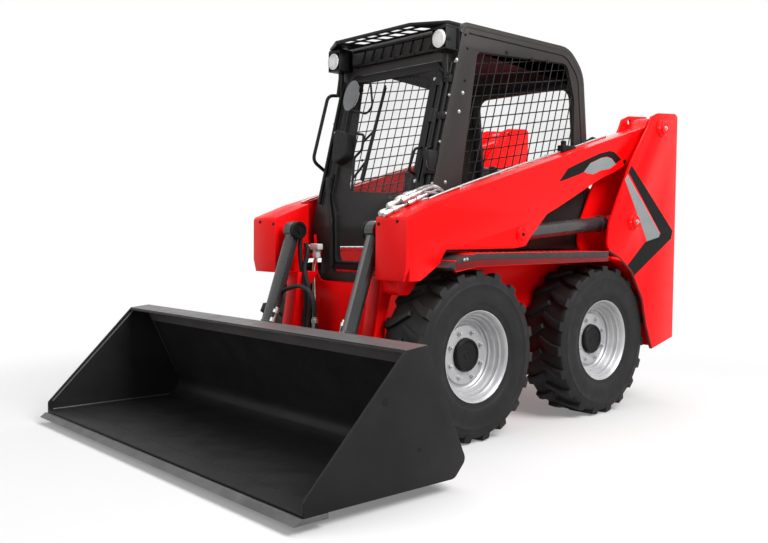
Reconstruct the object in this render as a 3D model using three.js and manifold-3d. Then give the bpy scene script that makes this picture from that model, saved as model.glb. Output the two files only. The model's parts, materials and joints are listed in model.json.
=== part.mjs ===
// Skid steer loader with a smooth-edged bucket.
// Millimetres, +Z up, the machine's front towards -Y and the operator's left towards +X.
// Sizes below are written from a datum on the ground, a hand's breadth behind mid-wheelbase; the whole
// group is then moved along Y so that the origin lies at the bottom centre of the machine's box.

import * as THREE from 'three';
import { mergeVertices } from 'three/addons/utils/BufferGeometryUtils.js';
import Module from 'manifold-3d';

const wasm = await Module();
wasm.setup();

// Driving dimensions
const originY = -356.5;                  // the box's middle, measured from the datum
const frontAxle = -505;
const rearAxle = 467;
const wheelRadius = 388;
const wheelX = 478;                      // middle plane of a wheel
const tyreHalfWidth = 128;
const rimRadius = 208;
const wheelSegments = 28;
const barSegments = 14;                  // sides of a pin, bar or eye
const chassisHalf = 340;
const chassisBottom = 205;
const plate = 12;                        // thickness of the frame's plates
const cabHalf = 412;
const cabWall = 22;
const cabFloor = 862;                    // lower edge of the cab's side walls
const sillHeight = 694;
const armIn = 452;
const armOut = 565;
const boxIn = 372;                       // inner face of the arm's front box
const legIn = 263;                       // the arm's leg runs down between the wheel and the middle
const legOut = 343;
const towerIn = 430;
const towerOut = 624;
const armPivot = [935, 1520];            // pins are given as [y, z]
const liftBasePin = [-185, 935];
const liftRodPin = [671, 1006];
const tiltBasePin = [-865, 944];
const tiltRodPin = [-1067, 335];
const bucketPin = [-1000, 190];
const armPinRadius = 30;
const bucketPinRadius = 22;
const liftPinRadius = 24;
const tiltBasePinRadius = 28;
const tiltRodPinRadius = 16;
const liftCylinderX = (armIn + armOut) / 2;
const tiltCylinderX = 303;
const bucketHalf = 1035;
const bucketLean = Math.atan2(209, 437); // the bucket's back leans forward by this angle

// Colours
const red = new THREE.MeshStandardMaterial({ color: 0xe01010, roughness: 0.35, metalness: 0.1 });
const darkGrey = new THREE.MeshStandardMaterial({ color: 0x2c2d2f, roughness: 0.55, metalness: 0.2 });
const tyreBlack = new THREE.MeshStandardMaterial({ color: 0x18181a, roughness: 0.9, metalness: 0 });
const silver = new THREE.MeshStandardMaterial({ color: 0xb4b5b7, roughness: 0.4, metalness: 0.6 });
const chromed = new THREE.MeshStandardMaterial({ color: 0xd8dadc, roughness: 0.12, metalness: 1 });
const glass = new THREE.MeshStandardMaterial({ color: 0x8fa0a4, roughness: 0.05, metalness: 0 });
const lens = new THREE.MeshStandardMaterial({ color: 0xe6e6e2, roughness: 0.2, metalness: 0 });
const vinyl = new THREE.MeshStandardMaterial({ color: 0x1c1c1e, roughness: 0.7, metalness: 0 });

const loader = new THREE.Group();
loader.position.y = -originY;

// Turns a closed three.js geometry into a solid that can be joined and cut.
function solidOf(geometry) {
  const bare = geometry.clone();
  bare.deleteAttribute('normal');
  bare.deleteAttribute('uv');
  const merged = mergeVertices(bare, 1e-3);
  const vertProperties = new Float32Array(merged.attributes.position.array);
  const triVerts = new Uint32Array(merged.index.array);
  return new wasm.Manifold(new wasm.Mesh({ numProp: 3, vertProperties, triVerts }));
}

function geometryOf(solid) {
  const mesh = solid.getMesh();
  const geometry = new THREE.BufferGeometry();
  geometry.setAttribute('position', new THREE.BufferAttribute(new Float32Array(mesh.vertProperties), 3));
  geometry.setIndex(new THREE.BufferAttribute(new Uint32Array(mesh.triVerts), 1));
  return geometry;
}

function join(...solids) {
  return solids.reduce((whole, solid) => whole.add(solid));
}

function addPart(name, solid, material) {
  const geometry = geometryOf(solid);
  geometry.computeVertexNormals();
  const mesh = new THREE.Mesh(geometry, material);
  mesh.name = name;
  loader.add(mesh);
}

// A closed outline through corners [a, b, radius]; a corner with a radius is rounded by an arc.
function outline(corners) {
  const shape = new THREE.Shape();
  const count = corners.length;
  corners.forEach(([a, b, radius = 0], i) => {
    const corner = new THREE.Vector2(a, b);
    const draw = i === 0 ? 'moveTo' : 'lineTo';
    if (radius === 0) {
      shape[draw](a, b);
      return;
    }
    const [a0, b0] = corners[(i + count - 1) % count];
    const [a1, b1] = corners[(i + 1) % count];
    const back = new THREE.Vector2(a0, b0).sub(corner).normalize();
    const ahead = new THREE.Vector2(a1, b1).sub(corner).normalize();
    const half = Math.acos(THREE.MathUtils.clamp(back.dot(ahead), -1, 1)) / 2;
    const start = corner.clone().addScaledVector(back, radius / Math.tan(half));
    const end = corner.clone().addScaledVector(ahead, radius / Math.tan(half));
    const bisector = back.clone().add(ahead).normalize();
    const middle = corner.clone().addScaledVector(bisector, radius / Math.sin(half));
    const clockwise = back.cross(ahead) > 0;
    shape[draw](start.x, start.y);
    shape.absarc(
      middle.x, middle.y, radius,
      Math.atan2(start.y - middle.y, start.x - middle.x),
      Math.atan2(end.y - middle.y, end.x - middle.x),
      clockwise,
    );
  });
  shape.closePath();
  return shape;
}

function extrude(shape, depth, axes) {
  const geometry = new THREE.ExtrudeGeometry(shape, { depth, bevelEnabled: false, curveSegments: 2 });
  geometry.applyMatrix4(new THREE.Matrix4().makeBasis(...axes));
  return geometry;
}

const axisX = new THREE.Vector3(1, 0, 0);
const axisY = new THREE.Vector3(0, 1, 0);
const axisZ = new THREE.Vector3(0, 0, 1);

// A plate whose outline lies in the Y-Z plane, between x = x0 and x = x1.
function plateX(corners, x0, x1) {
  const geometry = extrude(outline(corners), x1 - x0, [axisY, axisZ, axisX]);
  return solidOf(geometry.translate(x0, 0, 0));
}

// A plate whose outline lies in the X-Z plane, between y = y0 and y = y1.
function plateY(corners, y0, y1) {
  const geometry = extrude(outline(corners), y1 - y0, [axisX, axisZ, axisY.clone().negate()]);
  return solidOf(geometry.translate(0, y1, 0));
}

// A plate whose outline lies in the X-Y plane, between z = z0 and z = z1.
function plateZ(corners, z0, z1) {
  const geometry = extrude(outline(corners), z1 - z0, [axisX, axisY, axisZ]);
  return solidOf(geometry.translate(0, 0, z0));
}

function block(x0, x1, y0, y1, z0, z1) {
  const geometry = new THREE.BoxGeometry(x1 - x0, y1 - y0, z1 - z0);
  return solidOf(geometry.translate((x0 + x1) / 2, (y0 + y1) / 2, (z0 + z1) / 2));
}

// The same block on the machine's left (side = 1) or right (side = -1).
function sideBlock(side, x0, x1, ...rest) {
  return side > 0 ? block(x0, x1, ...rest) : block(-x1, -x0, ...rest);
}

function sidePlate(side, corners, x0, x1) {
  return side > 0 ? plateX(corners, x0, x1) : plateX(corners, -x1, -x0);
}

// A round bar across the machine, centred on [y, z].
function crossBar([y, z], radius, x0, x1, segments = barSegments) {
  const geometry = new THREE.CylinderGeometry(radius, radius, x1 - x0, segments);
  return solidOf(geometry.rotateZ(Math.PI / 2).translate((x0 + x1) / 2, y, z));
}

function sideBar(side, pin, radius, x0, x1, segments = barSegments) {
  return side > 0 ? crossBar(pin, radius, x0, x1, segments) : crossBar(pin, radius, -x1, -x0, segments);
}

// A bore's radius: its flats clear a pin of the given radius by a running gap at any angle.
function boreFor(pinRadius) {
  return (pinRadius + 0.6) / Math.cos(Math.PI / barSegments);
}

// A turned solid: profile points are [radius, distance along the axis], the axis being +Y.
function turned(profile, segments) {
  const points = profile.map(([radius, along]) => new THREE.Vector2(radius, along));
  return new THREE.LatheGeometry(points, segments);
}

// Points of an arc in the Y-Z plane, angles in degrees.
function arcPoints([y, z], radius, from, to, steps) {
  return Array.from({ length: steps + 1 }, (_, i) => {
    const angle = THREE.MathUtils.degToRad(from + (to - from) * i / steps);
    return [y + radius * Math.cos(angle), z + radius * Math.sin(angle)];
  });
}

const sides = [['left', 1], ['right', -1]];
const frontWheel = [frontAxle, wheelRadius];
const rearWheel = [rearAxle, wheelRadius];

// Wheels: a dished steel rim with its hub, and an open-sectioned tyre on it.
const rimProfile = [
  [0, -55], [78, -55], [78, 20], [166, 15], [190, 48], [190, -98], [rimRadius, -113], [200, -98],
  [200, 98], [rimRadius, 113], [202, 113], [186, 62], [163, 26], [135, 34], [70, 36], [66, 78], [0, 78],
];
const tyreProfile = [
  [200.5, 97], [200.5, 82], [290, 114], [350, 108], [350, -108], [290, -114], [200.5, -82], [200.5, -97],
  [213, -113.5], [280, -126], [345, -tyreHalfWidth], [wheelRadius, -100],
  [wheelRadius, 100], [345, tyreHalfWidth], [280, 126], [213, 113.5], [200.5, 97],
];

function addWheel(end, [y, z], sideName, side) {
  const outward = side > 0 ? -Math.PI / 2 : Math.PI / 2;
  const place = geometry => solidOf(geometry.rotateZ(outward).translate(side * wheelX, y, z));
  addPart(`rim_${end}_${sideName}`, place(turned(rimProfile, wheelSegments)), silver);
  addPart(`tyre_${end}_${sideName}`, place(turned(tyreProfile, wheelSegments)), tyreBlack);
}

for (const [sideName, side] of sides) {
  addWheel('front', frontWheel, sideName, side);
  addWheel('rear', rearWheel, sideName, side);
}

// Chassis: a welded tub with a front panel cut out around the entry, and four axle housings.
const chassisFront = -712;
const chassisRear = 1100;
const chassisTop = 838;
const footwellFloor = 442;
const panelDip = 690;                    // bottom of the front panel's cut-out around the entry

function chassisFrame() {
  const tub = chassisHalf - 1;             // the floors stop inside the side walls
  const engineWall = 560;
  const sideWall = [
    [chassisFront + 6, chassisBottom + 60], [chassisFront + 80, chassisBottom], [900, chassisBottom],
    [chassisRear, 330], [chassisRear, chassisTop], [-618, chassisTop], [-618, panelDip],
    [chassisFront + 6, panelDip],
  ];
  const panel = [
    [-chassisHalf, 300, 30], [-chassisHalf + 60, chassisBottom + 30], [chassisHalf - 60, chassisBottom + 30],
    [chassisHalf, 300, 30], [chassisHalf, 925], [chassisHalf - 6, 925], [318, panelDip, 70],
    [-318, panelDip, 70], [-chassisHalf + 6, 925], [-chassisHalf, 925],
  ];
  const walls = sides.map(([, side]) => sidePlate(side, sideWall, chassisHalf - plate, chassisHalf));
  const housings = sides.flatMap(([, side]) => [frontWheel, rearWheel].flatMap(axle => [
    sideBar(side, axle, 62, chassisHalf - plate, wheelX - 61),
    sideBar(side, axle, 92, chassisHalf - plate, chassisHalf + 16),
  ]));
  const belly = block(-tub, tub, chassisFront + 80, engineWall + plate, chassisBottom, footwellFloor);
  const floor = block(-tub, tub, engineWall, 900, chassisBottom, chassisBottom + plate);
  const front = plateY(panel, chassisFront, chassisFront + plate);
  const bulkhead = block(-tub, tub, engineWall, engineWall + plate, chassisBottom, chassisTop);
  const footwell = block(-tub, tub, chassisFront + 4, engineWall + 5, footwellFloor - plate, footwellFloor);
  return join(...walls, ...housings, belly, floor, front, bulkhead, footwell);
}

addPart('chassis_frame', chassisFrame(), red);

// Engine and counterweight
addPart('engine_block', block(-220, 220, 620, 1010, 355, 960), darkGrey);
const bumperRear = chassisRear + 25;
const bumperHalf = chassisHalf - plate - 2;
const bumperOutline = [[960, 345], [bumperRear, 345], [bumperRear, 250, 20], [1000, 235], [960, 235]];
addPart('rear_bumper', plateX(bumperOutline, -bumperHalf, bumperHalf), darkGrey);

// Towers: two plates on each side that carry the arm's pivot, with a rear web and a wheel arch.
const towerRear = 1106;
const archRadius = 425;
const towerFrontEdge = [
  [839, 1578], [811, 1524, 60], [650, 1326, 200], [532, 1130, 200], [456, 990, 80], [443, 896, 40],
];
const towerTop = [[towerRear, 1600, 12], [1078, 1614, 20], [902, 1601, 30]];

function tower(side) {
  const arch = [[460, 856], [554, 818, 200], [674, 742, 200], [784, 590, 300], [829, 440]];
  const outer = [...towerFrontEdge, ...arch, [891, 311], [towerRear, 362], ...towerTop];
  const inner = [...towerFrontEdge, [460, 862], [towerRear, 862], ...towerTop];
  const flange = [
    ...arcPoints(rearWheel, archRadius, 88, -8, 12),
    ...arcPoints(rearWheel, archRadius + plate, -8, 88, 12),
  ];
  const shell = join(
    sidePlate(side, outer, towerOut - plate, towerOut),
    sidePlate(side, inner, towerIn, towerIn + plate),
    sidePlate(side, flange, chassisHalf + 2, towerOut),
    sideBlock(side, chassisHalf + 2, towerIn + plate, 466, towerRear, 850, 862),
    sideBlock(side, chassisHalf + 2, towerOut, towerRear - plate, towerRear, 366, 862),
    sideBlock(side, towerIn, towerOut, towerRear - plate, towerRear, 850, 1560),
    sideBar(side, armPivot, 46, towerOut - plate, towerOut + 10),
    sideBar(side, armPivot, armPinRadius, towerIn, towerOut + 12),
    sideBar(side, liftRodPin, 44, towerOut - plate, towerOut + 8),
    sideBar(side, liftRodPin, liftPinRadius, towerOut - plate, towerOut + 12),
  );
  const liftingHole = sideBar(side, [906, 1568], 16, towerIn - 1, towerIn + plate + 1);
  return shell.subtract(liftingHole);
}

// Fenders: a step shelf over the wheels with a turned-down outer edge.
const fenderOut = towerOut;

function fender(side) {
  const shelf = [
    [452, 852], [452, 840], [-560, 840, 120], [-690, 806], [-694, 818], [-560, 852, 140],
  ];
  const skirt = [
    [452, 852], [452, 800], [-540, 792, 160], [-690, 770], [-694, 818], [-560, 852, 140],
  ];
  return join(
    sidePlate(side, shelf, chassisHalf + 2, fenderOut),
    sidePlate(side, skirt, fenderOut - plate, fenderOut),
  );
}

for (const [sideName, side] of sides) {
  addPart(`tower_${sideName}`, tower(side), red);
  addPart(`fender_${sideName}`, fender(side), red);
}

// Cab: a hollow roll-over structure with an entry, two side windows and a rear window.
const cabFrontLow = -680;
const cabKnee = [-668, 965];
const cabBrow = [-456, 1800];
const roofTop = 1908;
const rearBrow = [505, 1795];
const rearFoot = [612, cabFloor];

// The cab's side outline, drawn in from its outer skin by the given depth.
function cabOutline(depth) {
  return [
    [cabKnee[0] + depth, cabKnee[1], 30], [cabBrow[0] + depth, cabBrow[1], 60],
    [-432 + depth, roofTop - depth, 30],
    [380, roofTop - depth, 170 - depth], [rearBrow[0] - depth, rearBrow[1], 165 - depth],
    [rearFoot[0] - depth, cabFloor - depth / 22],
  ];
}

const entryHalf = 336;
const entryOutline = [
  [-entryHalf, 1090, 40], [-262, 985, 60], [-246, 742, 40], [246, 742, 40], [262, 985, 60],
  [entryHalf, 1090, 40], [entryHalf, 1745, 40], [-entryHalf, 1745, 40],
];
const sideWindow = [[-440, 1150, 30], [430, 1150, 30], [428, 1640, 60], [360, 1822, 50], [-335, 1785, 30]];
const rearWindowCorners = [[-325, 1150, 60], [325, 1150, 60], [325, 1722, 60], [-325, 1722, 60]];

// An outline's corners drawn in by a gap, each towards the outline's middle.
function inset(corners, gap) {
  const middleA = corners.reduce((sum, [a]) => sum + a, 0) / corners.length;
  const middleB = corners.reduce((sum, [, b]) => sum + b, 0) / corners.length;
  return corners.map(([a, b, radius]) => {
    const towardsA = Math.sign(middleA - a);
    const towardsB = Math.sign(middleB - b);
    return [a + towardsA * gap, b + towardsB * gap, radius];
  });
}

// Below its floor the cab's front is narrower, to stand between the chassis walls.
function footRelief(side) {
  return sideBlock(side, chassisHalf - 16, cabHalf + 1, cabFrontLow - 1, -600, sillHeight - 1, cabFloor);
}

function cabFrame() {
  const outerFoot = [[cabFrontLow + 55, cabFloor], [cabFrontLow + 55, sillHeight], [cabFrontLow, sillHeight]];
  const innerFoot = [[0, cabFloor - 1], [0, sillHeight - 1], [cabFrontLow + cabWall, sillHeight - 1]];
  const outer = plateX([...cabOutline(0), ...outerFoot], -cabHalf, cabHalf);
  const inner = plateX([...cabOutline(cabWall), ...innerFoot], -cabHalf + cabWall, cabHalf - cabWall);
  return outer
    .subtract(inner)
    .subtract(plateY(entryOutline, -900, 0))
    .subtract(plateX(sideWindow, -500, 500))
    .subtract(plateY(rearWindowCorners, 300, 900))
    .subtract(footRelief(1))
    .subtract(footRelief(-1));
}

addPart('cab_frame', cabFrame(), darkGrey);

for (const [sideName, side] of sides) {
  const screen = sidePlate(side, inset(sideWindow, 2), cabHalf - 16, cabHalf - 10);
  addPart(`side_screen_${sideName}`, screen, darkGrey);
}

function rearWindow() {
  const slope = (rearFoot[0] - rearBrow[0]) / (rearFoot[1] - rearBrow[1]);
  const wallAt = z => rearBrow[0] + (z - rearBrow[1]) * slope;
  const [low, high] = [1100, 1760];      // the pane's sheet before it is cut to the window
  const [near, far] = [10, 16];          // its two faces, inwards from the wall's outer skin
  const pane = [
    [wallAt(low) - far, low], [wallAt(low) - near, low],
    [wallAt(high) - near, high], [wallAt(high) - far, high],
  ];
  return plateX(pane, -cabHalf + 1, cabHalf - 1).intersect(plateY(inset(rearWindowCorners, 2), 300, 900));
}

addPart('rear_window', rearWindow(), glass);

// Roof visor with the two work lights in its front corners.
const lightX = 380;
const lightZ = 1812;

function roofVisor() {
  const plan = [[-426, -462], [-426, -548], [-267, -640], [267, -640], [426, -548], [426, -462]];
  const sheet = plateZ(plan, 1874, 1892);
  const housings = sides.map(([, side]) => sideBlock(side, 330, 426, -560, -470, 1764, 1876));
  const seats = sides.map(([, side]) => sideBlock(side, 336, 424, -562, -500, 1768, 1856));
  return seats.reduce((whole, seat) => whole.subtract(seat), join(sheet, ...housings));
}

addPart('roof_visor', roofVisor(), darkGrey);

for (const [sideName, side] of sides) {
  const lamp = new THREE.CylinderGeometry(42, 42, 60, 24).translate(side * lightX, -535, lightZ);
  addPart(`work_light_${sideName}`, solidOf(lamp), lens);
}

// Seat and controls
const baseOutline = [[-30, 444], [-30, 900], [380, 900], [470, 860], [470, 444]];
addPart('seat_base', plateX(baseOutline, -258, 258), darkGrey);
const cushionOutline = [[-70, 905, 25], [390, 905, 20], [390, 985, 30], [-70, 1000, 40]];
const backOutline = [[310, 992, 20], [420, 992, 20], [459, 1330, 34], [383, 1338, 34]];
addPart('seat_cushion', plateX(cushionOutline, -235, 235), vinyl);
addPart('seat_back', plateX(backOutline, -225, 225), vinyl);

function controlConsole(side) {
  const body = [[-140, 960, 20], [380, 960], [380, 1060, 20], [-40, 1075, 30], [-150, 1035, 20]];
  const leverFoot = new THREE.CylinderGeometry(9, 9, 110, 12).rotateX(Math.PI / 2);
  const grip = new THREE.CylinderGeometry(20, 24, 110, 14).rotateX(Math.PI / 2);
  return join(
    sidePlate(side, body, 265, 345),
    sideBlock(side, 265, 320, 180, 380, 700, 962),
    solidOf(leverFoot.translate(side * 305, -90, 1100)),
    solidOf(grip.translate(side * 305, -90, 1190)),
  );
}

for (const [sideName, side] of sides) {
  addPart(`console_${sideName}`, controlConsole(side), darkGrey);
}

function lapBar() {
  const route = new THREE.CatmullRomCurve3([
    [-365, 330, 1150], [-365, -120, 1130], [-345, -200, 1120], [-280, -240, 1110],
    [280, -240, 1110], [345, -200, 1120], [365, -120, 1130], [365, 330, 1150],
  ].map(point => new THREE.Vector3(...point)), false, 'centripetal');
  const section = new THREE.Shape().absarc(0, 0, 15, 0, Math.PI * 2, false);
  const along = { steps: 28, extrudePath: route, curveSegments: 4, bevelEnabled: false };
  return new THREE.ExtrudeGeometry(section, along);
}

addPart('lap_bar', solidOf(lapBar()), darkGrey);

// Front door: a bent frame around one pane, hinged on the operator's left post.
const doorGap = 10;
const doorDepth = 34;
const frontSlope = (cabBrow[0] - cabKnee[0]) / (cabBrow[1] - cabKnee[1]);

// A sheet that follows the cab's front, starting ahead of it by -front, over the whole width.
function doorSheet(front, depth) {
  const y = cabKnee[0] + front;
  const top = 1760;
  const bottom = 700;
  const topY = y + (top - cabKnee[1]) * frontSlope;
  const bottomY = y + 4;
  const profile = [
    [bottomY, bottom], [y, cabKnee[1]], [topY, top],
    [topY + depth, top], [y + depth, cabKnee[1]], [bottomY + depth, bottom],
  ];
  return plateX(profile, -cabHalf + 1, cabHalf - 1);
}

function doorPart(front, depth, gap) {
  return doorSheet(front, depth).intersect(plateY(inset(entryOutline, gap), -900, 0));
}

const doorPaneHole = plateY(inset(entryOutline, 46), -900, 0);
addPart('front_door_frame', doorPart(-16, doorDepth, doorGap).subtract(doorPaneHole), darkGrey);
addPart('front_door_glass', doorPart(-4, 6, 46.4), glass);

// Rear hood and rear door
function hood() {
  const top = [[628, 1188], [1060, 1128, 60], [1106, 1080], [1094, 1078], [1056, 1116, 50], [628, 1176]];
  const skirt = [[628, 1188], [1060, 1128, 60], [1106, 1080], [1040, 1070], [628, 1120]];
  return join(
    plateX(top, -towerIn + 6, towerIn - 6),
    ...sides.map(([, side]) => sidePlate(side, skirt, towerIn - 18, towerIn - 6)),
  );
}

addPart('hood', hood(), red);

const rearDoorCorners = [
  [-404, 878], [-404, 1060, 30], [404, 1060, 30], [404, 878],
  [320, 868], [320, 356], [-320, 356], [-320, 868],
];
addPart('rear_door', plateY(rearDoorCorners, 1086, 1112), darkGrey);

// Lift arms: a deep boom, a front box ahead of the cab, and a knee to the inner leg that carries the bucket.
function liftArm(side) {
  const boom = [
    [-925, 1003, 20], [-749, 1069, 300], [-129, 1248, 600], [862, 1524, 20], [900, 1566, 30], [985, 1552, 30],
    [992, 1488, 30], [905, 1444, 30], [747, 1340, 120], [596, 1273, 200], [451, 1224, 300], [106, 1072, 200],
    [11, 1034, 60], [-110, 925, 40], [-150, 880, 20], [-230, 870], [-690, 866, 20], [-735, 800],
    [-845, 735, 20], [-885, 735, 15], [-925, 776],
  ];
  const frontBox = [[-925, 1003, 20], [-722, 1078], [-722, 810], [-845, 735], [-925, 735]];
  const leg = [
    [-866, 740], [-742, 740], [-809, 655, 60], [-838, 550, 100], [-843, 470, 60], [-872, 350, 80],
    [-945, 150, 30], [-1000, 137, 30], [-1050, 175, 30], [-1030, 215, 30], [-950, 345, 60], [-905, 480, 100],
    [-884, 600, 100],
  ];
  const knee = [[-866, 740], [-735, 740], [-800, 668, 20], [-866, 668, 20]];
  const kneeTop = [[-866, 800], [-735, 800], [-735, 739], [-866, 739]];
  const chamfer = [[530, 700], [600, 700], [600, 815], [572, 815]].map(([x, z]) => [side * x, z]);
  const slot = [[-262, 860], [-262, 1000, 40], [60, 1000, 20], [60, 860]];
  const body = join(
    sidePlate(side, boom, armIn, armOut),
    sidePlate(side, frontBox, boxIn, armOut),
    sidePlate(side, leg, legIn, legOut),
    sidePlate(side, knee, legOut - 4, boxIn + 78),
    sidePlate(side, kneeTop, boxIn, boxIn + 78),
    sideBar(side, armPivot, armPinRadius + 32, armIn, armOut),
    sideBar(side, bucketPin, bucketPinRadius + 33, legIn, legOut),
    sideBar(side, tiltBasePin, tiltBasePinRadius, 268, boxIn + 10),
    sideBar(side, tiltBasePin, 38, 258, 268),
  );
  return body
    .subtract(sideBar(side, armPivot, boreFor(armPinRadius), armIn - 1, armOut + 1))
    .subtract(sideBar(side, bucketPin, boreFor(bucketPinRadius), legIn - 1, legOut + 1))
    .subtract(plateY(side > 0 ? chamfer : chamfer.reverse(), -940, -905))
    .subtract(sidePlate(side, slot, armIn + 16, armOut - 16))
    .add(sideBar(side, liftBasePin, liftPinRadius, armIn + 2, armOut + 8))
    .add(sideBar(side, liftBasePin, 38, armOut - 2, armOut + 6));
}

for (const [sideName, side] of sides) {
  addPart(`lift_arm_${sideName}`, liftArm(side), red);
}
addPart('arm_cross_tube', crossBar([-934, 280], 36, -legIn + 0.4, legIn - 0.4, 24), red);

// Hydraulic cylinders: a hollow barrel with a base eye, and a rod that runs inside it.
function cylinderPair(name, side, x, base, rodEye, size) {
  const [y0, z0] = base;
  const [y1, z1] = rodEye;
  const length = Math.hypot(y1 - y0, z1 - z0);
  const angle = Math.atan2(z1 - z0, y1 - y0);
  const place = geometry => solidOf(geometry.rotateX(angle).translate(side * x, y0, z0));
  const { barrelLength, outer, rod, eye, rodEyeRadius, eyeHalf, basePin, rodPin, rodTail } = size;
  const tube = turned([
    [0, eye * 0.7], [outer, eye * 0.7], [outer, barrelLength - 40], [outer + 5, barrelLength - 36],
    [outer + 5, barrelLength], [rod + 0.6, barrelLength], [rod + 0.6, barrelLength - 30],
    [outer - 8, barrelLength - 42], [outer - 8, eye * 0.7 + 24], [0, eye * 0.7 + 24],
  ], 16);
  const barEnd = length - rodPin - 2;
  const bar = new THREE.CylinderGeometry(rod, rod, barEnd - rodTail, 16);
  bar.translate(0, (barEnd + rodTail) / 2, 0);
  const barrel = join(place(tube), sideBar(side, base, eye, x - eyeHalf, x + eyeHalf))
    .subtract(sideBar(side, base, boreFor(basePin), x - eyeHalf - 1, x + eyeHalf + 1));
  const rodSolid = join(place(bar), sideBar(side, rodEye, rodEyeRadius, x - eyeHalf, x + eyeHalf))
    .subtract(sideBar(side, rodEye, boreFor(rodPin), x - eyeHalf - 1, x + eyeHalf + 1));
  const sideName = side > 0 ? 'left' : 'right';
  addPart(`${name}_barrel_${sideName}`, barrel, darkGrey);
  addPart(`${name}_rod_${sideName}`, rodSolid, chromed);
}

const liftSize = {
  barrelLength: 745, outer: 38, rod: 22, eye: 46, rodEyeRadius: 40, eyeHalf: 30, basePin: liftPinRadius,
  rodPin: liftPinRadius, rodTail: 66,
};
const tiltSize = {
  barrelLength: 500, outer: 35, rod: 20, eye: 44, rodEyeRadius: 30, eyeHalf: 28, basePin: tiltBasePinRadius,
  rodPin: tiltRodPinRadius, rodTail: 160,
};
for (const [, side] of sides) {
  cylinderPair('lift', side, liftCylinderX, liftBasePin, liftRodPin, liftSize);
  cylinderPair('tilt', side, tiltCylinderX, tiltBasePin, tiltRodPin, tiltSize);
}

// Quick coupler: a plate along the bucket's back with ears for the pivot and tilt pins.
// Points are given from the bucket's pin: up along the bucket's back, and back away from it.
function onBack([up, back]) {
  const sin = Math.sin(bucketLean);
  const cos = Math.cos(bucketLean);
  return [bucketPin[0] - up * sin + back * cos, bucketPin[1] + up * cos + back * sin];
}

function couplerPlate() {
  const sheet = [[-80, -70], [330, -70], [330, -86], [-80, -86]].map(onBack);
  const ear = [
    [-70, -76], [215, -76], [185, 10], [150, 26], [112, 8], [48, 28], [0, 50], [-40, 30],
  ].map(onBack);
  const earGap = legOut - tiltCylinderX + 6;
  const slotAt = (low, high) => [[low, -60], [high, -60], [high, -90], [low, -90]].map(onBack);
  const solids = sides.flatMap(([, side]) => [
    sidePlate(side, ear, tiltCylinderX - earGap - 14, tiltCylinderX - earGap),
    sidePlate(side, ear, tiltCylinderX + earGap, tiltCylinderX + earGap + 14),
    sideBar(side, bucketPin, bucketPinRadius, tiltCylinderX - earGap - 16, tiltCylinderX + earGap + 16),
    sideBar(side, tiltRodPin, 24, tiltCylinderX - earGap - 20, tiltCylinderX - earGap - 13),
    sideBar(side, tiltRodPin, 26, tiltCylinderX - earGap - 1, tiltCylinderX - 30),
    sideBar(side, tiltRodPin, 26, tiltCylinderX + 30, tiltCylinderX + earGap + 1),
  ]);
  const windows = sides.flatMap(([, side]) => [
    sidePlate(side, slotAt(100, 230), tiltCylinderX - 34, tiltCylinderX + 34),
    sidePlate(side, slotAt(225, 340), tiltCylinderX - 48, tiltCylinderX + 48),
  ]);
  const sheetSolid = windows.reduce((whole, hole) => whole.subtract(hole), plateX(sheet, -540, 540));
  return join(sheetSolid, ...solids);
}

addPart('coupler_plate', couplerPlate(), darkGrey);

// Bucket
const bucketWall = 12;

function bucketShell() {
  const outer = [
    [-1268, 548], [-1059, 111, 30], [-1119, 49, 40], [-1800, 49], [-1800, 100, 20], [-1368, 538],
  ];
  const cavity = [
    [-1279, 528], [-1085, 120, 60], [-1140, 61, 90], [-1890, 61], [-1380, 528],
  ];
  return plateX(outer, -bucketHalf, bucketHalf)
    .subtract(plateX(cavity, -bucketHalf + bucketWall, bucketHalf - bucketWall));
}

addPart('bucket_shell', bucketShell(), darkGrey);
const edgeProfile = [[-1838, 30], [-1700, 30], [-1700, 48.6], [-1815, 48.6]];
addPart('cutting_edge', plateX(edgeProfile, -bucketHalf, bucketHalf), darkGrey);

export default loader;
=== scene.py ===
# Skid steer loader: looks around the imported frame, in metres, front towards -Y.
import json
import math

import bmesh
import bpy
from mathutils import Matrix, Vector


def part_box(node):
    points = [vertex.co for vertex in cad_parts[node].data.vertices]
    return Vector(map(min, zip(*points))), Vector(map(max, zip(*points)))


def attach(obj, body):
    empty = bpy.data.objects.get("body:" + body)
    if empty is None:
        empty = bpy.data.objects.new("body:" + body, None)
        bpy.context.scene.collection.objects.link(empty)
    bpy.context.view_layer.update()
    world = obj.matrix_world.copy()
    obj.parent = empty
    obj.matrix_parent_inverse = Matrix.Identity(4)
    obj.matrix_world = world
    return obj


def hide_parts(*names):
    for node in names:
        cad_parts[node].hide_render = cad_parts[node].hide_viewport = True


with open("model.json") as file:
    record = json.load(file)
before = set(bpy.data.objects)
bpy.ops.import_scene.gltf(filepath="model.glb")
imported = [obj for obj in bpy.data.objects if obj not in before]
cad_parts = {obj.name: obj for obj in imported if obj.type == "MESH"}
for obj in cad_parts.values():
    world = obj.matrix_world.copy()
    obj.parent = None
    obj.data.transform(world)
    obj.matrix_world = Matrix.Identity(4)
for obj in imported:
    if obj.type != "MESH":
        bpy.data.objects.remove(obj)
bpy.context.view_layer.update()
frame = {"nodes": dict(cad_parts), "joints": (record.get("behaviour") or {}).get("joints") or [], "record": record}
nodes = frame["nodes"]
joints = {joint["name"]: joint for joint in frame["joints"]}
sideNames = {1: "left", -1: "right"}
scene = bpy.context.scene

wheelPlace = {}                       # wheel centres, from the record's joints
for end in ("front", "rear"):
    for side, sideName in sideNames.items():
        wheelPlace[end, side] = Vector(joints[f"wheel_{end}_{sideName}_spin"]["pos_m"])
liftPin = Vector(joints["arm_lift"]["pos_m"])
datumY = liftPin.y - 0.935              # sizes below are measured from this station


def at(x, y, z):                      # a point whose y is measured from the datum
    return Vector((x, y + datumY, z))


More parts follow.
